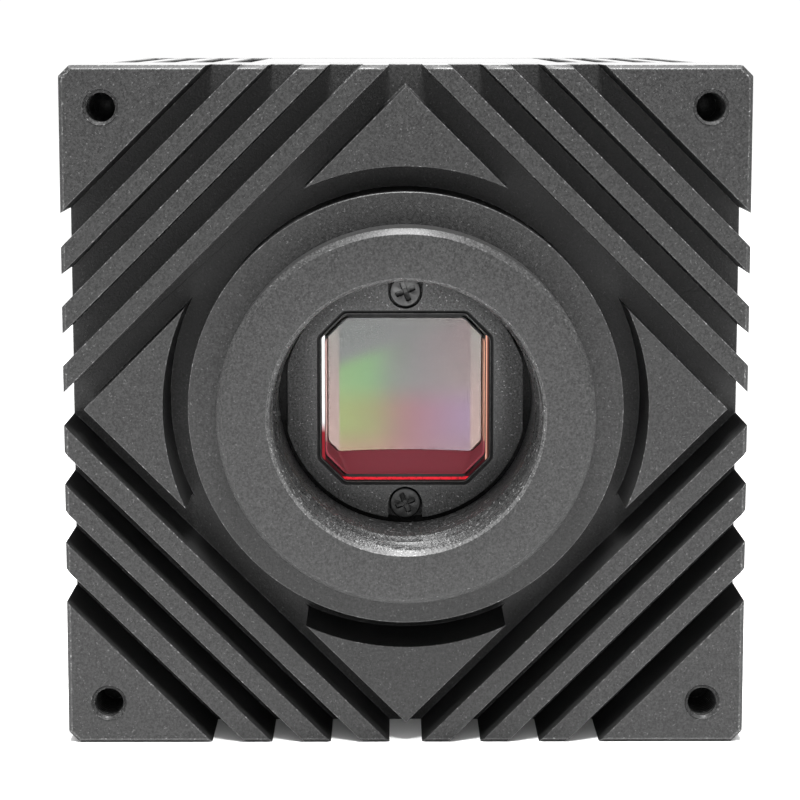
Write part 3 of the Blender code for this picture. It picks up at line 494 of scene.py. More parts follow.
def rubber(name, tone):
    finish = Finish(name, 0.75, 0.0, 0.3)
    grain = finish.noise(2600, 3.0, 0.6)
    base = finish.mix(finish.between(grain, 0.35, 0.65), grey(tone * 0.7), grey(tone * 1.4))
    rough = finish.between(finish.noise(300, 2.0), 0.3, 0.7, 0.65, 0.85)
    return finish.put(Base_Color=base, Roughness=rough, Normal=finish.bump(grain, 0.3, SUBTLE)).material


def moulded(name, colour, roughness=0.45):
    """Moulded plastic with a fine spark-eroded texture."""
    finish = Finish(name, roughness, 0.0, 0.5)
    grain = finish.noise(4200, 2.0, 0.5)
    flow = finish.noise(120, 2.0, 0.5, (1.0, 0.25, 1.0))
    darker = tuple(part * 0.8 for part in colour)
    lighter = tuple(min(1.0, part * 1.15) for part in colour)
    base = finish.mix(finish.between(flow, 0.35, 0.65), darker, lighter)
    rough = finish.between(grain, 0.3, 0.7, roughness - 0.07, roughness + 0.09)
    return finish.put(Base_Color=base, Roughness=rough, Normal=finish.bump(grain, 0.25, SUBTLE)).material


def metal(name, colour, roughness=0.3, brushed=(1.0, 1.0, 1.0)):
    """Bare metal, brushed along one direction, with faint tarnish."""
    finish = Finish(name, roughness, 1.0, 0.5)
    lines = finish.noise(2600, 3.0, 0.6, brushed)
    tarnish = finish.noise(220, 3.0, 0.6)
    darker = tuple(part * 0.62 for part in colour)
    base = finish.mix(finish.between(tarnish, 0.4, 0.75), colour, darker)
    base = finish.mix(finish.between(lines, 0.35, 0.65, 0.0, 0.25), base, darker)
    rough = finish.between(lines, 0.3, 0.7, roughness - 0.08, roughness + 0.12)
    return finish.put(Base_Color=base, Roughness=rough, Normal=finish.bump(lines, 0.2, 0.015 * MM)).material


def circuit_board(name):
    """Green solder mask over copper tracks, with bright plated pads."""
    finish = Finish(name, 0.4, 0.0, 0.5)
    across = finish.part(finish.moved(scale=(900, 900, 900)), "X")
    up = finish.part(finish.moved(scale=(900, 900, 900)), "Z")
    tracks = finish.sums("GREATER_THAN", finish.sums("SINE", finish.sums("ADD", across, up)), 0.55)
    area = finish.between(finish.noise(260, 1.0), 0.45, 0.52)
    tracks = finish.sums("MULTIPLY", tracks, area)
    pads = finish.between(finish.cells(620), 0.18, 0.24, 1.0, 0.0)
    pads = finish.sums("MULTIPLY", pads, finish.between(finish.noise(150, 1.0), 0.5, 0.55))
    base = finish.mix(tracks, (0.012, 0.085, 0.035), (0.03, 0.17, 0.07))
    base = finish.mix(pads, base, (0.6, 0.6, 0.56))
    rough = finish.between(pads, 0.0, 1.0, 0.42, 0.25)
    return finish.put(Base_Color=base, Roughness=rough, Normal=finish.bump(tracks, 0.3, 0.03 * MM)).material


def ceramic(name, colour):
    finish = Finish(name, 0.5, 0.0, 0.5)
    grain = finish.noise(1800, 4.0, 0.6)
    base = finish.mix(grain, tuple(part * 0.85 for part in colour), colour)
    rough = finish.between(grain, 0.3, 0.7, 0.42, 0.6)
    return finish.put(Base_Color=base, Roughness=rough, Normal=finish.bump(grain, 0.2, SUBTLE)).material


def clear_glass(name):
    """A coated window: nearly all light goes through, and a little is mirrored."""
    finish = Finish(name, 0.03, 0.0, 0.5)
    smears = finish.noise(180, 4.0, 0.6)
    smeared = finish.between(smears, 0.4, 0.8, 0.02, 0.06)
    finish.put(Base_Color=(0.9, 0.9, 0.92), Roughness=smeared, Metallic=1.0)
    clear = finish.nodes.new("ShaderNodeBsdfTransparent")
    edge_on = finish.nodes.new("ShaderNodeFresnel")
    edge_on.inputs["IOR"].default_value = COATED_IOR
    combine = finish.nodes.new("ShaderNodeMixShader")
    finish.links.new(edge_on.outputs[0], combine.inputs[0])
    finish.links.new(clear.outputs[0], combine.inputs[1])
    finish.links.new(finish.shader.outputs[0], combine.inputs[2])
    finish.links.new(combine.outputs[0], finish.nodes["Material Output"].inputs["Surface"])
    return finish.material


# The window and the sensor behind it. The seal's lower edge covers the sensor from RED_LINE down.
WINDOW_HALF = (GLASS_HIGH.x - GLASS_LOW.x) / 2 + 0.1 * MM
WINDOW_CUT = 2.1 * MM
GLASS_BEVEL = 0.4 * MM
COATED_IOR = 1.06
COVER_IOR = 1.3
DIE_HALF = 6.4
RED_LINE = 6.1
RED_CORNER = 6.7
LINE_WIDTH = 0.1
SEAL_MAROON = (0.204, 0.036, 0.047)

# The sensor's painted sheen: its rainbow reflections as fixed tints, gradients across it, in millimetres
# from the axis, from top to bottom.
PAINTED_SHEEN_TOP = [(-5, (0.073, 0.076, 0.074)), (1, (0.075, 0.076, 0.075)), (7, (0.089, 0.078, 0.075))]
PAINTED_SHEEN_UPPER = [(-6, (0.080, 0.118, 0.063)), (-3.4, (0.072, 0.121, 0.063)), (-1.2, (0.076, 0.080, 0.074)),
               (2, (0.080, 0.074, 0.077)), (7, (0.096, 0.075, 0.074))]
PAINTED_SHEEN_MIDDLE = [(-7, (0.097, 0.116, 0.053)), (-3.2, (0.094, 0.098, 0.050)), (-0.8, (0.101, 0.064, 0.060)),
                (1.4, (0.101, 0.056, 0.064)), (5, (0.099, 0.072, 0.099))]
PAINTED_SHEEN_LOW = [(-6.4, (0.122, 0.084, 0.061)), (-2.6, (0.116, 0.080, 0.060)), (0, (0.106, 0.057, 0.061)),
             (4, (0.099, 0.069, 0.081))]
MARGIN_TINTS = [(-5.5, (0.136, 0.098, 0.089)), (0, (0.127, 0.097, 0.092)), (5, (0.104, 0.099, 0.093))]


def sensor_face(name):
    """The sensor under its coated cover: a rose margin, a rainbow sheen on the silicon painted in
    as fixed tints, both mirror-like, and the deep red of the seal along its lower edge."""
    finish = Finish(name, 0.03, 0.0, 0.5)
    finish.put(IOR=COVER_IOR)
    across, up = finish.places()
    painted_sheens = [finish.ramp(across, -8.0, 8.0, stops)
              for stops in (PAINTED_SHEEN_LOW, PAINTED_SHEEN_MIDDLE, PAINTED_SHEEN_UPPER, PAINTED_SHEEN_TOP)]
    slope = finish.sums("SUBTRACT", up, finish.sums("MULTIPLY", across, 0.35))
    silicon = finish.mix(finish.eased(up, -6.5, -3.2), painted_sheens[0], painted_sheens[1])
    silicon = finish.mix(finish.eased(up, -2.2, 1.2), silicon, painted_sheens[2])
    silicon = finish.mix(finish.eased(slope, 3.7, 5.9, "SMOOTHERSTEP"), silicon, painted_sheens[3])
    off_centre = finish.sums("ABSOLUTE", across)
    margin = finish.ramp(up, -6.0, 6.0, MARGIN_TINTS)
    margin_share = finish.between(off_centre, DIE_HALF - 0.05, DIE_HALF + 0.05)
    base = finish.mix(margin_share, silicon, margin)
    arch = finish.sums("MULTIPLY", finish.sums("MULTIPLY", across, across), 0.0043)
    below = finish.sums("SUBTRACT", finish.sums("MULTIPLY", up, -1.0), arch)
    corner = finish.sums("SUBTRACT", finish.sums("SUBTRACT", off_centre, up), RED_CORNER)
    beyond = finish.sums("MAXIMUM", below, corner)
    base = finish.mix(finish.between(beyond, RED_LINE, RED_LINE + LINE_WIDTH), base, SEAL_MAROON)
    mirrored = finish.between(beyond, RED_LINE, RED_LINE + LINE_WIDTH, 1.0, 0.0)
    ripples = finish.bump(finish.noise(160, 1.0), 0.1, 0.05 * MM)
    return finish.put(Base_Color=base, Metallic=mirrored, Normal=ripples).material


def painted_glow_edge(name):
    """The ground edge of the window, painted with the light it catches: a painted glow, white on one side,
    amber on the other and red below, and painted shade at its top and corners.
    """
    finish = Finish(name, 0.35, 0.0, 0.5)
    across, up = finish.places()
    limit = (WINDOW_HALF - GLASS_BEVEL) / MM - 0.03
    ragged = finish.between(finish.noise(3200, 2.0, 0.7), 0.35, 0.6, 0.2, 1.0)
    corners = finish.mix(finish.between(up, -1.0, 1.0), (0.05, 0.005, 0.008), grey(0.02))
    left = finish.mix(finish.between(up, -3.4, -2.2), (0.3, 0.02, 0.03), (1.0, 1.0, 1.0))
    red = finish.mix(ragged, (0.25, 0.01, 0.015), (1.0, 0.03, 0.05))
    outermost = finish.between(across, limit + 0.1, limit + 0.2)
    right = finish.mix(outermost, (0.75, 0.4, 0.3), (0.1, 0.03, 0.02))
    base = finish.mix(finish.sums("LESS_THAN", across, -limit), corners, left)
    base = finish.mix(finish.sums("GREATER_THAN", across, limit), base, right)
    base = finish.mix(finish.sums("LESS_THAN", up, -limit), base, red)
    base = finish.mix(finish.sums("GREATER_THAN", up, limit), base, grey(0.015))
    # The emission makes the edge glow though it is no lamp: painted light caught in the glass.
    return finish.put(Base_Color=base, Emission_Color=base, Emission_Strength=0.6).material


def lining_painted_light(name):
    """The lining between window and sensor: deep red below, a painted glow at the sides, rose on the left
    and amber on the right, and painted shade on top.
    """
    finish = Finish(name, 0.5, 0.0, 0.05)
    across, up = finish.places()
    painted_side_glow = finish.mix(finish.between(across, -1.0, 1.0), (0.75, 0.5, 0.46), (0.8, 0.42, 0.3))
    base = finish.mix(finish.between(up, -4.5, -4.3), (0.53, 0.1, 0.135), painted_side_glow)
    base = finish.mix(finish.between(up, 5.2, 5.6), base, grey(0.02))
    grain = finish.noise(1500, 2.0)
    return finish.put(Base_Color=base, Normal=finish.bump(grain, 0.2, SUBTLE)).material


BLACK = anodised("black_anodised", 0.0125, specular=0.22)
# Painted light: a lighter, glossier copy of the black, so that the flat tops read bright.
BLACK_PAINTED_BRIGHT_TOP = anodised("black_anodised_painted_bright_top", 0.019, 0.3, coat=1.0, coat_roughness=0.06)
BLACK_EDGE = anodised("black_anodised_edge", 0.022, 0.38, 0.28, edge=0.35)
RIM = anodised("rim_anodised", 0.02, 0.5, 0.12, bump=0.8, edge=0.06)
RING_BLACK = anodised("ring_anodised", 0.0145, 0.42, 0.24, 0.4, 0.16)
RING_EDGE = anodised("ring_anodised_edge", 0.02, 0.42, 0.15, edge=0.08)
RING_MOUTH = anodised("ring_anodised_mouth", 0.045, 0.4, 0.18, bump=1.2, painted_glints=0.8, edge=0.12)
THREADS = anodised("thread_anodised", 0.018, 0.32, 0.25, 1.4, 0.8, 0.2)
BORE = anodised("bore_anodised", 0.02, 0.3, 0.4, 1.8, 1.0, 0.45)
PLATE_BLACK = anodised("plate_anodised", 0.043, 0.42, 0.35, 1.2, 1.0)
SCREW_BLACK = metal("screw_steel", grey(0.07), 0.42)
SCREW_DARK = metal("screw_black_oxide", grey(0.06), 0.38)
MASK = moulded("window_mask", grey(0.006), 0.6)
RUBBER = rubber("black_rubber", 0.012)
RUBBER_PAINTED_RIDGE_HIGHLIGHT = rubber("black_rubber_painted_ridge_highlight", 0.06)
GLASS = clear_glass("window_glass")
GLASS_EDGE_PAINTED_GLOW = painted_glow_edge("window_edge_painted_glow")
LINING_PAINTED_LIGHT = lining_painted_light("window_lining")
SENSOR_FACE = sensor_face("sensor_face")
BLACK_PLASTIC = moulded("black_plastic", grey(0.02))
WHITE_PLASTIC = moulded("white_plastic", (0.7, 0.69, 0.65), 0.5)
CHIP = moulded("chip_black", grey(0.025), 0.55)
BOARD = circuit_board("circuit_board")
CERAMIC = ceramic("ceramic", (0.62, 0.6, 0.56))
SILICON = metal("silicon", (0.2, 0.17, 0.25), 0.15)
COPPER = metal("copper", (0.78, 0.38, 0.24), 0.3)
ALUMINIUM = metal("bare_aluminium", (0.72, 0.72, 0.73), 0.32, (1.0, 0.1, 1.0))
STEEL = metal("bright_steel", (0.56, 0.56, 0.57), 0.25)
AMBER = moulded("amber_film", (0.5, 0.22, 0.03), 0.35)
LENS = moulded("light_pipe", (0.25, 0.62, 0.3), 0.15)


# Front housing. Its finish numbers are places in the list that show() is given.

RIM_FACE, TOP_FACE = 2, 3
POCKET_RADIUS = 13.3 * MM
SENSOR_OPENING = (17.0 * MM, 2.3 * MM)
INNER_POCKET = (52.0 * MM, 8.0 * MM)
M3_SINK, M3_ROOT, M3_CREST, M3_PITCH = 1.62 * MM, 1.5 * MM, 1.3 * MM, 0.5 * MM


def front_relief():
    """Everything between the raised flange, posts, fins and corners, as one solid to cut away."""
    reach = BODY / 2 + OVERRUN
    tip = POST_EDGE * ROOT2
    spread = math.sqrt(2 * ARC_RADIUS ** 2 - tip ** 2)
    foot = ((tip - spread) / 2, (tip + spread) / 2)
    start = math.atan2(foot[1], foot[0])
    post = [(0, tip)] + arc(ARC_RADIUS, math.pi - start, start, 28)
    islands = [post]
    for inner, outer in FIN_BANDS:
        near, far = inner * ROOT2 - reach, outer * ROOT2 - reach
        islands.append([(reach, near), (reach, far), (far, reach), (near, reach)])
    near = CORNER_EDGE * ROOT2 - reach
    islands.append([(reach, near), (reach, reach), (near, reach)])
    loops = [square(2 * (reach + OVERRUN)), circle(FLANGE_RADIUS, steps=FINE)]
    for island in islands:
        loops += four_ways(island)
    return prism("front_relief", loops, -PAST, GROOVE_DEPTH)


def threaded_hole(name, x, z):
    """A cutter for a countersunk M3 hole with thread ridges and a drilled bottom."""
    root, crest, pitch = M3_ROOT, M3_CREST, M3_PITCH
    depth, start = 6.0 * MM, 0.35 * MM
    profile = [(0, -PAST), (M3_SINK, -PAST), (M3_SINK, 0.02 * MM), (root, 0.2 * MM)]
    for turn in range(int((depth - start) / pitch)):
        profile += [(crest, start + turn * pitch), (root, start + (turn + 0.5) * pitch)]
    profile += [(crest, depth), (0, depth + 0.8 * MM)]
    return lathe(name, profile, x=x, z=z, steps=SMALL)


def chamfered_block(name, front, back, chamfer):
    """The square body outline from one depth to another, with its front rim chamfered."""
    block = prism(name, [square(BODY, CORNER_CUT)], front, back)
    shape = bmesh.new()
    shape.from_mesh(block.data)
    rim = [edge for edge in shape.edges
           if all(abs(depth_of(vertex.co.y) - front) < NEAR for vertex in edge.verts)]
    bmesh.ops.bevel(shape, geom=rim, offset=chamfer, segments=1, affect="EDGES")
    shape.to_mesh(block.data)
    shape.free()
    return block


def upper_faces(piece, index):
    """Gives the flat top of a housing its own finish: a lighter, glossier copy of the black, painted so that
    the top reads brighter than the rest.
    """
    for face in piece.data.polygons:
        if face.normal.z > 0.99 and face.center.z > HOUSING_HIGH.z - 0.1 * MM:
            face.material_index = index


def front_housing():
    housing = chamfered_block("finned_front_housing", 0, FRONT_DEPTH, RIM_CHAMFER)
    worked(housing, front_relief())
    stem_floor = STEM_DEPTH + 1.1 * MM
    plate_floor = PLATE_BACK + 0.3 * MM
    inner_wall = 11.4 * MM
    stem = STEM_RADIUS + 0.3 * MM
    worked(housing, lathe("bore_tool", [
        (0, -PAST), (stem, -PAST), (stem, stem_floor), (POCKET_RADIUS, stem_floor),
        (POCKET_RADIUS, plate_floor), (0, plate_floor),
    ], steps=FINE))
    opening, pocket = square(*SENSOR_OPENING), square(*INNER_POCKET)
    worked(housing, prism("opening_tool", [opening], plate_floor - PAST, inner_wall + PAST))
    worked(housing, prism("pocket_tool", [pocket], inner_wall, FRONT_DEPTH + PAST))
    holes = [threaded_hole("hole_" + name, sx * HOLE_PLACE, sz * HOLE_PLACE)
             for name, (sx, sz) in CORNERS.items()]
    worked(housing, combined("hole_tool", holes))
    for face in housing.data.polygons:
        middle, normal = face.center, face.normal
        if depth_of(middle.y) < RIM_CHAMFER and 0.3 < -normal.y < 0.95:
            face.material_index = RIM_FACE
    upper_faces(housing, TOP_FACE)
    broken_edges(housing)
    show(housing, [BLACK, BLACK_EDGE, RIM, BLACK_PAINTED_BRIGHT_TOP], ["front_housing"])


# Lens mount ring.


STEM_RADIUS = 15.0 * MM
STEM_DEPTH = 5.2 * MM
NOSE_RADIUS = 13.0 * MM
BORE_RADIUS = 12.0 * MM
THREAD_PITCH = 25.4 / 32 * MM
THREAD_ROOT = 12.7 * MM
THREAD_MIDDLE = 12.45 * MM
THREAD_HEIGHT = 0.4 * MM
THREAD_MOUTH = 12.76 * MM
THREAD_LEAD = 0.35 * MM
THREAD_END = -0.3 * MM
ROWS_IN_A_TURN = 8
RING_CHAMFER = 0.55 * MM
EDGE_FACE, THREAD_FACE, MOUTH_FACE, BORE_FACE = 1, 2, 3, 4


def thread_swell(angle, depth, radius):
    """How far the thread's wall is from its middle radius, which makes it a true helix."""
    first = RING_FRONT + THREAD_LEAD
    if abs(radius - THREAD_MIDDLE) > WELD or not first < depth < THREAD_END:
        return 0
    turn = (depth / THREAD_PITCH + angle / (2 * math.pi)) % 1
    ridge = max(0.0, min(1.0, 1.2 - abs(2 * turn - 1) * 1.7))
    fade = min(1.0, (depth - first) / THREAD_PITCH * 2, (THREAD_END - depth) / THREAD_PITCH * 2)
    return fade * (THREAD_ROOT - THREAD_MIDDLE - THREAD_HEIGHT * ridge)


def mount_ring():
    front, chamfer = RING_FRONT, RING_CHAMFER
    first = front + THREAD_LEAD
    rows = int((THREAD_END - first) / THREAD_PITCH * ROWS_IN_A_TURN)
    step = (first - THREAD_END) / rows
    thread = [(THREAD_MIDDLE, THREAD_END + step * row) for row in range(1, rows)]
    shell = softened([
        (THREAD_MIDDLE, first), (THREAD_MOUTH, front), (RING_RADIUS - chamfer, front),
        (RING_RADIUS, front + chamfer), (RING_RADIUS, -0.3 * MM), (STEM_RADIUS, -0.3 * MM),
        (STEM_RADIUS, STEM_DEPTH), (NOSE_RADIUS, STEM_DEPTH), (NOSE_RADIUS, RING_BACK),
        (BORE_RADIUS, RING_BACK), (BORE_RADIUS, THREAD_END + 0.45 * MM), (THREAD_MIDDLE, THREAD_END),
    ], 0.05 * MM)
    ring = lathe("threaded_mount_ring", shell + thread, closed=True, steps=360, swell=thread_swell)
    smooth(ring)
    for face in ring.data.polygons:
        radius = math.hypot(face.center.x, face.center.z - AXIS_Z)
        depth = depth_of(face.center.y)
        if radius < THREAD_MOUTH and depth < RING_BACK - NEAR:
            face.material_index = THREAD_FACE
            if depth < first:
                face.material_index = MOUTH_FACE
            elif radius < THREAD_ROOT - 0.5 * MM:
                face.material_index = BORE_FACE
        elif 0.2 < -face.normal.y < 0.98 and depth < front + chamfer:
            face.material_index = EDGE_FACE
    show(ring, [RING_BLACK, RING_EDGE, THREADS, RING_MOUTH, BORE], ["mount_ring"])


# Window plate, window and its lining.


OPENING_HALF = 8.42 * MM
SCREW_PLACE = 10.25 * MM
MASK_HEIGHT = 0.26 * MM
CLEAR_FACE, BEVEL_FACE, MASK_FACE = 0, 1, 2


def octagon(half, cut):
    """A square outline with cut corners that are slightly rounded."""
    return rounded_corners(square(2 * half, cut), 0.35 * MM, 6)


def screw_slot(sign):
    radius, reach = 1.65 * MM, PLATE_RADIUS - SCREW_PLACE + 1 * MM
    loop = arc(radius, math.pi, 2 * math.pi, 32) + [(radius, reach), (-radius, reach)]
    loop = moved_by(loop, 0, SCREW_PLACE)
    if sign < 0:
        loop = turned_by(loop, 180)
    return prism("slot_tool", [loop], PLATE_FRONT - PAST, PLATE_FRONT + 1.3 * MM)


def window_plate():
    half_angle = math.acos(PLATE_FLAT / PLATE_RADIUS)
    top = arc(PLATE_RADIUS, half_angle, math.pi - half_angle, 72)
    disc = top + turned_by(top, 180)
    rim, opening, step = 0.06 * MM, octagon(7.7 * MM, 2.0 * MM), octagon(OPENING_HALF, 2.5 * MM)
    plate = prism("window_frame_plate", [disc, opening], PLATE_FRONT, PLATE_BACK, rim)
    worked(plate, prism("step_tool", [step], PLATE_FRONT - PAST, PLATE_FRONT + 2.0 * MM))
    worked(plate, screw_slot(1))
    worked(plate, screw_slot(-1))
    smooth(plate)
    show(plate, [PLATE_BLACK], ["window_plate"])


def retainer_loop(half, cut, droop=0.0):
    """A window outline with many points; droop lets its top edge sag in two shallow waves."""
    loop = []
    outline = octagon(half, cut)
    for index, start in enumerate(outline):
        end = outline[(index + 1) % len(outline)]
        pieces = 24 if math.dist(start, end) > 3 * MM else 1
        for step in range(pieces):
            t = step / pieces
            x, z = start[0] + (end[0] - start[0]) * t, start[1] + (end[1] - start[1]) * t
            if z > half - NEAR:
                share = x / (half - cut)
                z -= droop * max(0.0, 1 - share ** 4) * (0.75 + 0.7 * share ** 2)
            loop.append((x, z))
    return loop


# The retainer's section: half width and corner cut in millimetres, and height from its seat.
RETAINER = [(8.4, 2.48, 0.0), (8.4, 2.48, 1.25), (8.2, 2.4, 1.25), (8.17, 2.39, 1.48), (8.14, 2.38, 1.52),
            (8.11, 2.37, 1.52), (8.08, 2.36, 1.48), (8.05, 2.35, 1.25), (7.98, 2.06, 1.25),
            (7.98, 2.06, 1.15), (8.14, 2.16, 1.1), (8.14, 2.16, 0.0)]


def window_retainer():
    """A black rubber frame round the window, with one raised bead along it, whose top carries a painted
    highlight.
    """
    seat = PLATE_FRONT + 1.6 * MM
    ridge_top = seat - 1.47 * MM
    inner_edge = min(half for half, cut, height in RETAINER)
    rings = []
    for half, cut, height in RETAINER:
        droop = 0.34 * MM if half == inner_edge else 0.0
        rings.append((retainer_loop(half * MM, cut * MM, droop), seat - height * MM))
    frame_piece = smooth(loft("window_retainer", rings))
    # The bead's top faces take a lighter rubber: a painted highlight along the ridge.
    for face in frame_piece.data.polygons:
        if depth_of(face.center.y) < ridge_top:
            face.material_index = 1
    show(frame_piece, [RUBBER, RUBBER_PAINTED_RIDGE_HIGHLIGHT], ["window_gasket"])


def window_glass():
    """The pane: clear faces, a thin printed mask, and a ground bevel with a painted glow on all but its top
    side.
    """
    outer = octagon(WINDOW_HALF, WINDOW_CUT)
    inner = octagon(WINDOW_HALF - GLASS_BEVEL, WINDOW_CUT - 0.1 * MM)
    mask_half = WINDOW_HALF - GLASS_BEVEL - 0.03 * MM
    mask = [(x, z + MASK_HEIGHT * (z < 0.1 * MM - mask_half))
            for x, z in octagon(mask_half, WINDOW_CUT - 0.1 * MM)]
    rows = [(mask, GLASS_FRONT, CLEAR_FACE), (inner, GLASS_FRONT, MASK_FACE),
            (outer, GLASS_FRONT + 0.3 * MM, BEVEL_FACE), (outer, GLASS_BACK, CLEAR_FACE)]
    shape = bmesh.new()
    rings = [[shape.verts.new(at(x, depth, z)) for x, z in loop] for loop, depth, finish in rows]
    shape.faces.new(rings[0])
    shape.faces.new(rings[-1])
    for number, (one, other) in enumerate(zip(rings, rings[1:]), start=1):
        for index in range(len(one)):
            after = (index + 1) % len(one)
            face = shape.faces.new([one[index], one[after], other[after], other[index]])
            at_top = face.calc_center_median().z - AXIS_Z >= WINDOW_HALF - WINDOW_CUT
            if rows[number][2] != BEVEL_FACE or not at_top:
                face.material_index = rows[number][2]
    pane = made("window_pane", shape)
    show(pane, [GLASS, GLASS_EDGE_PAINTED_GLOW, MASK], ["window_glass"])


# How fast the raised foot of the lining falls away from its middle, for each metre.
LINING_ARCH = 4.3


def lining_loop(half, cut, rise):
    """A window outline with its foot raised, the more so towards the middle."""
    lifted = []
    for x, z in retainer_loop(half, cut):
        arch = LINING_ARCH * x * x if rise else 0.0
        share = min(1.0, max(0.0, -z / (half - cut)))
        lifted.append((x, z + (rise - arch) * share))
    return lifted


def window_lining():
    """A thin tube between the pane and the sensor. Its foot slopes up to the sensor's lower edge."""
    front, back = GLASS_BACK + 0.1 * MM, SENSOR_FRONT - 0.1 * MM
    half, wall, cut, rear_cut, rise = 7.55 * MM, 0.11 * MM, 2.0 * MM, 1.0 * MM, 1.7 * MM
    rings = [(lining_loop(half, cut, 0), front), (lining_loop(half + wall, cut, 0), front),
             (lining_loop(half + wall, rear_cut, rise), back), (lining_loop(half, rear_cut, rise), back)]
    show(smooth(loft("window_lining", rings)), [LINING_PAINTED_LIGHT])


def sensor_cover():
    half = (SENSOR_HIGH.x - SENSOR_LOW.x) / 2
    cover = prism("sensor_cover", [square(2 * half, 0.3 * MM)], SENSOR_FRONT, depth_of(SENSOR_HIGH.y))
    show(cover, [SENSOR_FACE], ["sensor_cover_glass"])


def window_screws():
    """Two pan-head screws with cross recesses, in slots of the plate."""
    for name, sign in (("top", 1), ("bottom", -1)):
        z = sign * SCREW_PLACE
        top = PLATE_FRONT + 0.2 * MM
        seat, tip = top + 0.8 * MM, PLATE_BACK + 1.7 * MM
        radius, shank = 1.475 * MM, 0.75 * MM
        profile = softened([(0, top), (radius, top + 0.02 * MM), (radius, seat), (shank, seat),
                            (shank, tip), (0, tip)], 0.16 * MM, 4)
        screw = lathe("window_head_screw_" + name, profile, z=z, steps=64)
        arm = rounded_corners(rectangle(1.9 * MM, 0.46 * MM), 0.1 * MM, 3)
        for turn in (22, 112):
            slot = moved_by(turned_by(arm, turn), 0, z)
            worked(screw, prism("cross_tool", [slot], top - PAST, top + 0.6 * MM))
        broken_edges(screw, 0.04 * MM)
        show(screw, [SCREW_BLACK if sign > 0 else SCREW_DARK, SCREW_DARK],
             ["window_screw_" + name])


# Main housing, rear cover, fan and connectors.


SIDE_GROOVES = [16.45 * MM, 20.27 * MM, 24.09 * MM, 27.91 * MM]
TIE_PLACE = 24.3 * MM
FAN_HOLE_PLACE = 16.0 * MM
TIE_HOLE = 1.5 * MM
FAN_HOLE = 1.4 * MM
PORT_DROP = 21.2 * MM
VENT_DEPTH = 43.5 * MM
VENT_SPACING = 3.82 * MM
GRILLE_RINGS = [(6.4 * MM, 9.2 * MM), (10.6 * MM, 13.4 * MM), (14.8 * MM, 17.6 * MM)]
MAIN_TOP_FACE = 2


def corner_circles(radius, place, up=0.0):
    return [circle(radius, sx * place, sz * place + up, SMALL) for sx, sz in CORNERS.values()]


def grooved_square():
    """The body outline with the square-bottomed grooves that run back along all four sides."""
    half, cut_depth, half_width = BODY / 2, 2.0 * MM, 1.05 * MM
    places = sorted([sign * place for place in SIDE_GROOVES for sign in (-1, 1)], reverse=True)
    side = [(half - CORNER_CUT, half)]
    for place in places:
        side += [(place + half_width, half), (place + half_width, half - cut_depth)]
        side += [(place - half_width, half - cut_depth), (place - half_width, half)]
    side.append((CORNER_CUT - half, half))
    return [point for quarter in four_ways(side) for point in quarter]


def main_housing():
    ties = corner_circles(TIE_HOLE, TIE_PLACE)
    housing = prism("grooved_main_housing", [grooved_square(), square(*INNER_POCKET), *ties],
                    MAIN_FRONT, MAIN_BACK)
    vents = []
    turn = Matrix.Rotation(math.pi / 2, 4, "Z")
    for row in range(-3, 4):
        slot = rounded_corners(rectangle(13 * MM, 2.1 * MM), 1.0 * MM, 8)
        shape = prism(f"vent_{row}", [slot], -BODY, BODY)
        centre = at(0, VENT_DEPTH, row * VENT_SPACING)
        shape.data.transform(Matrix.Translation(centre) @ turn @ Matrix.Translation(-at(0, 0, 0)))
        vents.append(shape)
    worked(housing, combined("vent_tool", vents))
    upper_faces(housing, MAIN_TOP_FACE)
    broken_edges(housing, 0.12 * MM)
    show(housing, [BLACK, BLACK_EDGE, BLACK_PAINTED_BRIGHT_TOP], ["main_housing"])


def ring_sector(inner, outer, start, end):
    return arc(outer, start, end, 24) + arc(inner, end, start, 24)


def rear_cover():
    loops = [square(BODY, CORNER_CUT)]
    loops += corner_circles(TIE_HOLE, TIE_PLACE)
    loops += corner_circles(FAN_HOLE, FAN_HOLE_PLACE, FAN_Z)
    spoke = 1.0 * MM
    for inner, outer in GRILLE_RINGS:
        for quarter in range(4):
            middle = (inner + outer) / 2
            start = quarter * math.pi / 2 + spoke / middle + math.pi / 4
            end = start + math.pi / 2 - 2 * spoke / middle
            loops.append(moved_by(ring_sector(inner, outer, start, end), 0, FAN_Z))
    usb = rounded_corners(rectangle(9.6 * MM, 3.8 * MM), 1.7 * MM, 8)
    loops.append(moved_by(usb, -9 * MM, -PORT_DROP))
    loops.append(circle(4.3 * MM, 8 * MM, -PORT_DROP))
    loops.append(circle(1.3 * MM, -0.8 * MM, -PORT_DROP, SMALL))
    cover = prism("grille_rear_cover", loops, COVER_FRONT, COVER_BACK)
    sinks = []
    outside = COVER_BACK + PAST
    for sx, sz in CORNERS.values():
        sinks.append(rod("tie_sink", 2.4 * MM, COVER_BACK - 2 * MM, outside,
                         sx * TIE_PLACE, sz * TIE_PLACE))
        sinks.append(rod("fan_sink", 2.3 * MM, COVER_BACK - 1.4 * MM, outside,
                         sx * FAN_HOLE_PLACE, sz * FAN_HOLE_PLACE + FAN_Z))
    worked(cover, combined("sink_tool", sinks))
    broken_edges(cover, 0.15 * MM)
    show(cover, [BLACK, BLACK_EDGE], ["rear_cover"])


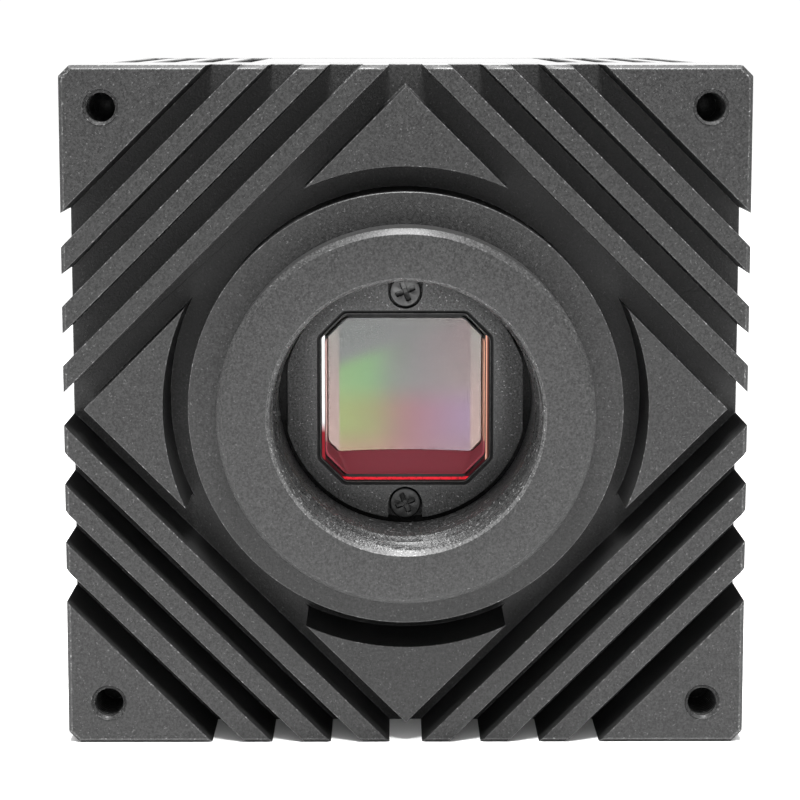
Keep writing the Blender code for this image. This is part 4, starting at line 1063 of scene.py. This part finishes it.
def socket_screw(name, node):
    """A socket-head screw fitted to its CAD node, seen from the rear."""
    low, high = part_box(node)
    x, z = (low.x + high.x) / 2, (low.z + high.z) / 2 - AXIS_Z
    radius = (high.x - low.x) / 2
    tip, top = depth_of(low.y), depth_of(high.y)
    height = 0.75 * radius
    shank = radius * 0.57
    profile = softened([(0, tip), (shank, tip), (shank, top - height), (radius, top - height),
                        (radius, top), (0, top)], 0.12 * MM, 4)
    screw = lathe(name, profile, x=x, z=z, steps=64)
    worked(screw, rod("socket_tool", radius * 0.55, top - height * 0.65, top + PAST, x, z, steps=6))
    broken_edges(screw, 0.05 * MM)
    show(screw, [SCREW_DARK, SCREW_DARK], [node])


def rear_screws():
    for name in CORNERS:
        socket_screw("cover_screw_" + name, "tie_screw_" + name)
        socket_screw("fan_fixing_screw_" + name, "fan_screw_" + name)


# Pieces that keep their CAD shape and take a finish.


CARRIED = {
    "mount_seal": RUBBER, "sensor_package": CERAMIC, "sensor_die": SILICON, "sensor_board": BOARD,
    "chamber_insulator": WHITE_PLASTIC, "chamber_seal": RUBBER, "chamber_base": ALUMINIUM,
    "finger_collar": WHITE_PLASTIC, "desiccant_cartridge": WHITE_PLASTIC, "cold_finger": COPPER,
    "cooler_first_stage": CERAMIC, "cooler_second_stage": CERAMIC, "heat_sink": ALUMINIUM,
    "main_board": BOARD, "processor_chip": CHIP, "memory_chip_top": CHIP, "memory_chip_bottom": CHIP,
    "power_coil": CHIP, "sensor_flex": AMBER, "io_flex": AMBER, "io_board": BOARD, "usb_shell": STEEL,
    "usb_tongue": BLACK_PLASTIC, "power_jack": BLACK_PLASTIC, "power_pin": STEEL, "status_light": LENS,
    "fan_frame": BLACK_PLASTIC, "fan_rotor": BLACK_PLASTIC, "fan_magnet": STEEL, "fan_shaft": STEEL,
    "fan_bearing_front": STEEL, "fan_bearing_rear": STEEL, "fan_stator": COPPER,
}


def carried_nodes():
    screws = [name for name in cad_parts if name.startswith(("base_screw", "sink_screw"))]
    finishes = {**CARRIED, **{name: SCREW_DARK for name in screws}}
    for name, finish in finishes.items():
        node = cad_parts[name]
        for slot in node.material_slots:
            slot.material = finish


# Floor, light and view.


LENS_LENGTH = 104.0
CAMERA_SHIFT = -0.12
CAMERA_PLACE = (-1.65 * MM, FRONT_Y - 211.5 * MM, 66.2 * MM)
CAMERA_TILT = math.radians(90 - 6.636)
CAMERA_TURN = math.radians(-0.3)
WORLD_STRENGTH = 1.08


def studio():
    shape = bmesh.new()
    bmesh.ops.create_grid(shape, x_segments=1, y_segments=1, size=3.0)
    floor = made("floor", shape)
    floor.location.z = CAD_LOW.z
    finish = Finish("white_table", 0.35, 0.0, 0.3)
    paper = finish.noise(40, 3.0)
    finish.put(Base_Color=finish.mix(paper, grey(0.92), grey(0.94)))
    floor.data.materials.append(finish.material)

    world = bpy.data.worlds.new("studio")
    world.use_nodes = True
    background = world.node_tree.nodes["Background"]
    background.inputs["Color"].default_value = (1, 1, 1, 1)
    background.inputs["Strength"].default_value = WORLD_STRENGTH
    bpy.context.scene.world = world
    soft_box("overhead_softbox", (0.0, -0.17, 0.52), 0.14, 0.3, 12.0)


def soft_box(name, place, width, length, power):
    light = bpy.data.lights.new(name, "AREA")
    light.shape = "RECTANGLE"
    light.size = width
    light.size_y = length
    light.energy = power
    lamp = bpy.data.objects.new(name, light)
    lamp.location = place
    aim = Vector((0, FRONT_Y, AXIS_Z)) - lamp.location
    lamp.rotation_euler = aim.to_track_quat("-Z", "Y").to_euler()
    bpy.context.scene.collection.objects.link(lamp)


def camera():
    data = bpy.data.cameras.new("view")
    data.lens = LENS_LENGTH
    data.sensor_width = 36.0
    data.shift_y = CAMERA_SHIFT
    data.clip_start = 0.01
    view = bpy.data.objects.new("view", data)
    view.location = CAMERA_PLACE
    view.rotation_euler = (CAMERA_TILT, 0, CAMERA_TURN)
    bpy.context.scene.collection.objects.link(view)
    bpy.context.scene.camera = view
    bpy.context.scene.view_settings.view_transform = "Standard"


camera()
studio()
front_housing()
mount_ring()
window_plate()
window_retainer()
window_glass()
window_lining()
sensor_cover()
window_screws()
main_housing()
rear_cover()
rear_screws()
carried_nodes()
